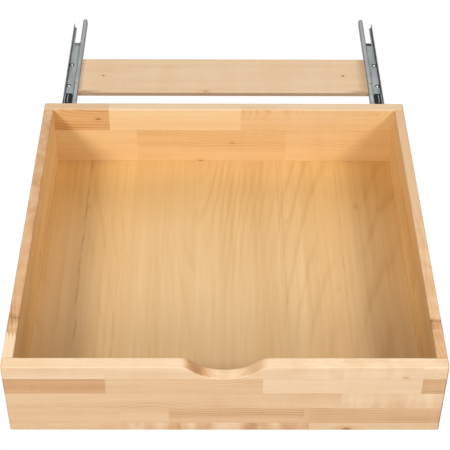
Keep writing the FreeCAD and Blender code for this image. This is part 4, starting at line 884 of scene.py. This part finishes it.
def bright_material(name, colour, roughness, line_size):
    """Bright turned steel with faint machining lines and smudges."""
    material, w, shader = new_material(name)
    place = w.object_place()
    lines = w.noise(w.stretch(place, (line_size, line_size, line_size)), detail=2.0)
    handling = w.group(shared("Handling", build_handling), {"Place": place, "Size": 0.004})
    shade = w.math("MULTIPLY", handling["Smudge"], 0.25)
    w.feed(shader.inputs["Base Color"], w.mix(shade, colour, [channel * 0.7 for channel in colour]))
    w.feed(shader.inputs["Roughness"], w.remap(lines, 0.3, 0.7, roughness * 0.8, roughness * 1.3))
    shader.inputs["Metallic"].default_value = 1.0
    return material


class DRAWER_OT_finish_rails(bpy.types.Operator):
    """Finish the steel rails and brackets"""

    bl_idname = "drawer.finish_rails"
    bl_label = "Finish Rails"

    def execute(self, context):
        fixed = zinc_material("Zinc Fixed Rail", greasy_and_shaded=True)
        moving = zinc_material("Zinc Moving Rail")
        for side in ("left", "right"):
            give(f"{side}_fixed_rail", fixed)
            give(f"{side}_middle_rail", moving)
            give(f"{side}_drawer_rail", moving)
            give(f"{side}_board_bracket", moving)
        return {"FINISHED"}


class DRAWER_OT_finish_fixings(bpy.types.Operator):
    """Finish balls, rivets and screws"""

    bl_idname = "drawer.finish_fixings"
    bl_label = "Finish Fixings"

    def execute(self, context):
        look = context.scene.drawer_metal
        screw = bright_material("Bright Zinc Screw", look.screw, 0.28, 1800)
        ball = bright_material("Polished Ball", look.ball, 0.09, 900)
        for node in ("bracket_rivets", "board_screws", "catch_screws"):
            give(node, screw)
        for side in ("left", "right"):
            give(f"{side}_lower_balls", ball)
            give(f"{side}_upper_balls", ball)
        return {"FINISHED"}


# ------------------------------------------------------------------ plastic


def plastic_material(name, colour, roughness):
    """Moulded plastic with a fine spark-eroded grain, paler where it is dusty."""
    look = bpy.context.scene.drawer_plastic
    material, w, shader = new_material(name)
    place = w.object_place()
    grain = w.noise(place, scale=1.0 / look.grain, detail=2.0, roughness=0.6)
    handling = w.group(shared("Handling", build_handling), {"Place": place, "Size": 0.012})
    paler = [min(1.0, channel * 2.2 + 0.02) for channel in colour]
    dust = w.math("MULTIPLY", handling["Dust"], 0.3)
    dust = w.math("ADD", dust, w.math("MULTIPLY", handling["Smudge"], 0.15))
    w.feed(shader.inputs["Base Color"], w.mix(dust, colour, paler))
    w.feed(shader.inputs["Roughness"], w.remap(grain, 0.3, 0.7, roughness, roughness + 0.14))
    shader.inputs["Specular IOR Level"].default_value = 0.22
    bump = w.add("ShaderNodeBump", {"Height": grain, "Distance": 0.00003, "Strength": 0.4})
    w.feed(shader.inputs["Normal"], bump.outputs[0])
    return material


class DRAWER_OT_finish_plastic(bpy.types.Operator):
    """Finish cages, caps, catches and levers"""

    bl_idname = "drawer.finish_plastic"
    bl_label = "Finish Plastic"

    def execute(self, context):
        look = context.scene.drawer_plastic
        black = plastic_material("Black Moulded Plastic", look.black, 0.38)
        grey = plastic_material("Grey Moulded Plastic", look.grey, 0.44)
        for side in ("left", "right"):
            for piece in ("rear_cap", "lower_cage", "upper_cage", "release_lever"):
                give(f"{side}_{piece}", black)
            give(f"{side}_catch", grey)
        return {"FINISHED"}


# ------------------------------------------------------------------ stage


def look_matrix(place, forward, roll):
    """A camera's or light's matrix from where it is and where it looks."""
    forward = forward.normalized()
    right = forward.cross(Vector((0, 0, 1))).normalized()
    up = right.cross(forward)
    turned_right = math.cos(roll) * right + math.sin(roll) * up
    turned_up = math.cos(roll) * up - math.sin(roll) * right
    turn = Matrix((turned_right, turned_up, -forward)).transposed().to_4x4()
    return Matrix.Translation(place) @ turn


# Each softbox is (turn from the front, height, width, depth, power): degrees, metres and watts.
SOFTBOXES = {
    "Left Softbox": (-50, 40, 0.7, 0.7, 58),
    "Right Softbox": (50, 40, 0.7, 0.7, 48),
    "Front Softbox": (-8, 24, 2.0, 1.0, 18),
    "Right Top Softbox": (100, 62, 1.3, 1.1, 16),
    "Rear Softbox": (180, 40, 1.3, 1.1, 12),
}
SOFTBOX_DISTANCE = 2.9


def add_softbox(name, turn, rise, width, depth, power):
    """A large soft lamp on a circle round the drawer, aimed at its middle."""
    lamp = bpy.data.lights.new(name, "AREA")
    lamp.shape = "RECTANGLE"
    lamp.size, lamp.size_y = width, depth
    lamp.energy = power
    holder = bpy.data.objects.new(name, lamp)
    bpy.context.scene.collection.objects.link(holder)
    turn, rise = math.radians(turn), math.radians(rise)
    middle = Vector((0, (FRONT_LOW[1] + BACK_HIGH[1]) / 2, RIM / 2))
    away = Vector((math.sin(turn) * math.cos(rise), -math.cos(turn) * math.cos(rise), math.sin(rise)))
    holder.matrix_world = look_matrix(middle + SOFTBOX_DISTANCE * away, -away, 0.0)
    holder.visible_camera = False


def add_floor(look):
    """A plain pale floor well below the drawer."""
    for item in bpy.context.selected_objects:
        item.select_set(False)
    bpy.ops.mesh.primitive_plane_add(size=30, location=(0, 0, -look.floor_drop))
    floor = bpy.context.object
    floor.name = "studio_floor"
    floor.data.transform(floor.matrix_world)
    floor.matrix_world = Matrix.Identity(4)
    material, w, shader = new_material("Studio Floor")
    grain = w.noise(w.object_place(), scale=3.0, detail=2.0)
    shade = w.mix(w.remap(grain, 0.3, 0.7), look.floor, [channel * 0.985 for channel in look.floor])
    seen = w.add("ShaderNodeLightPath").outputs["Is Camera Ray"]
    w.feed(shader.inputs["Base Color"], w.mix(seen, shade, (0, 0, 0)))
    w.feed(shader.inputs["Emission Strength"], w.math("MULTIPLY", seen, 1.02))
    shader.inputs["Emission Color"].default_value = (1, 1, 1, 1)
    shader.inputs["Specular IOR Level"].default_value = 0.0
    shader.inputs["Roughness"].default_value = 0.9
    floor.data.materials.append(material)


def add_backdrop(look):
    """White all around: bright behind the object, and softer as light."""
    world = bpy.data.worlds.new("Studio")
    bpy.context.scene.world = world
    world.use_nodes = True
    world.node_tree.nodes.clear()
    w = Wiring(world.node_tree)
    seen = w.add("ShaderNodeLightPath").outputs["Is Camera Ray"]
    strength = w.math("ADD", look.ambient, w.math("MULTIPLY", seen, 0.98))
    background = w.add("ShaderNodeBackground", {"Color": (1, 1, 1, 1), "Strength": strength})
    w.add("ShaderNodeOutputWorld", {"Surface": background.outputs[0]})


def add_camera(look):
    """The camera, above and in front of the open drawer."""
    camera = bpy.data.cameras.new("Camera")
    camera.sensor_width = 36
    camera.lens = look.lens
    camera.clip_end = 100
    holder = bpy.data.objects.new("Camera", camera)
    bpy.context.scene.collection.objects.link(holder)
    pitch, yaw, roll = math.radians(41.96), math.radians(0.424), math.radians(0.368)
    forward = Vector((math.sin(yaw) * math.cos(pitch), math.cos(yaw) * math.cos(pitch), -math.sin(pitch)))
    holder.matrix_world = look_matrix(Vector((-0.0096, -1.7444, 1.4152)), forward, roll)
    bpy.context.scene.camera = holder


class DRAWER_OT_set_stage(bpy.types.Operator):
    """Add the floor, the lights, the backdrop and the camera"""

    bl_idname = "drawer.set_stage"
    bl_label = "Set Stage"

    def execute(self, context):
        look = context.scene.drawer_stage
        context.scene.view_settings.view_transform = "Standard"
        add_floor(look)
        add_backdrop(look)
        for name, (turn, rise, width, depth, power) in SOFTBOXES.items():
            add_softbox(name, turn, rise, width, depth, power * look.power)
        add_camera(look)
        return {"FINISHED"}


# ------------------------------------------------------------------ sidebar

STEPS = (
    DRAWER_OT_finish_front,
    DRAWER_OT_finish_back,
    DRAWER_OT_finish_sides,
    DRAWER_OT_finish_cross_board,
    DRAWER_OT_finish_bottom,
    DRAWER_OT_finish_rails,
    DRAWER_OT_finish_fixings,
    DRAWER_OT_finish_plastic,
    DRAWER_OT_set_stage,
)


class DRAWER_PT_finishes(bpy.types.Panel):
    """The drawer's sizes, colours and steps"""

    bl_label = "Drawer"
    bl_idname = "DRAWER_PT_finishes"
    bl_space_type = "VIEW_3D"
    bl_region_type = "UI"
    bl_category = "Drawer"

    def draw(self, context):
        column = self.layout.column()
        for name, look in LOOKS.items():
            box = column.box()
            box.label(text=look.__doc__)
            for field in look.__annotations__:
                box.prop(getattr(context.scene, name), field)
        for step in STEPS:
            column.operator(step.bl_idname)


CLASSES = (*LOOKS.values(), *STEPS, DRAWER_PT_finishes)


def register():
    for item in CLASSES:
        bpy.utils.register_class(item)
    for name, look in LOOKS.items():
        setattr(bpy.types.Scene, name, PointerProperty(type=look))


def unregister():
    for name in LOOKS:
        delattr(bpy.types.Scene, name)
    for item in reversed(CLASSES):
        bpy.utils.unregister_class(item)


def plain(box):
    """A box as plain lists of numbers."""
    return [[float(value) for value in corner] for corner in box]


def main():
    register()
    bpy.ops.drawer.finish_front()
    bpy.ops.drawer.finish_back()
    bpy.ops.drawer.finish_sides()
    bpy.ops.drawer.finish_cross_board()
    bpy.ops.drawer.finish_bottom()
    bpy.ops.drawer.finish_rails()
    bpy.ops.drawer.finish_fixings()
    bpy.ops.drawer.finish_plastic()
    bpy.ops.drawer.set_stage()


if __name__ == "__main__":
    main()
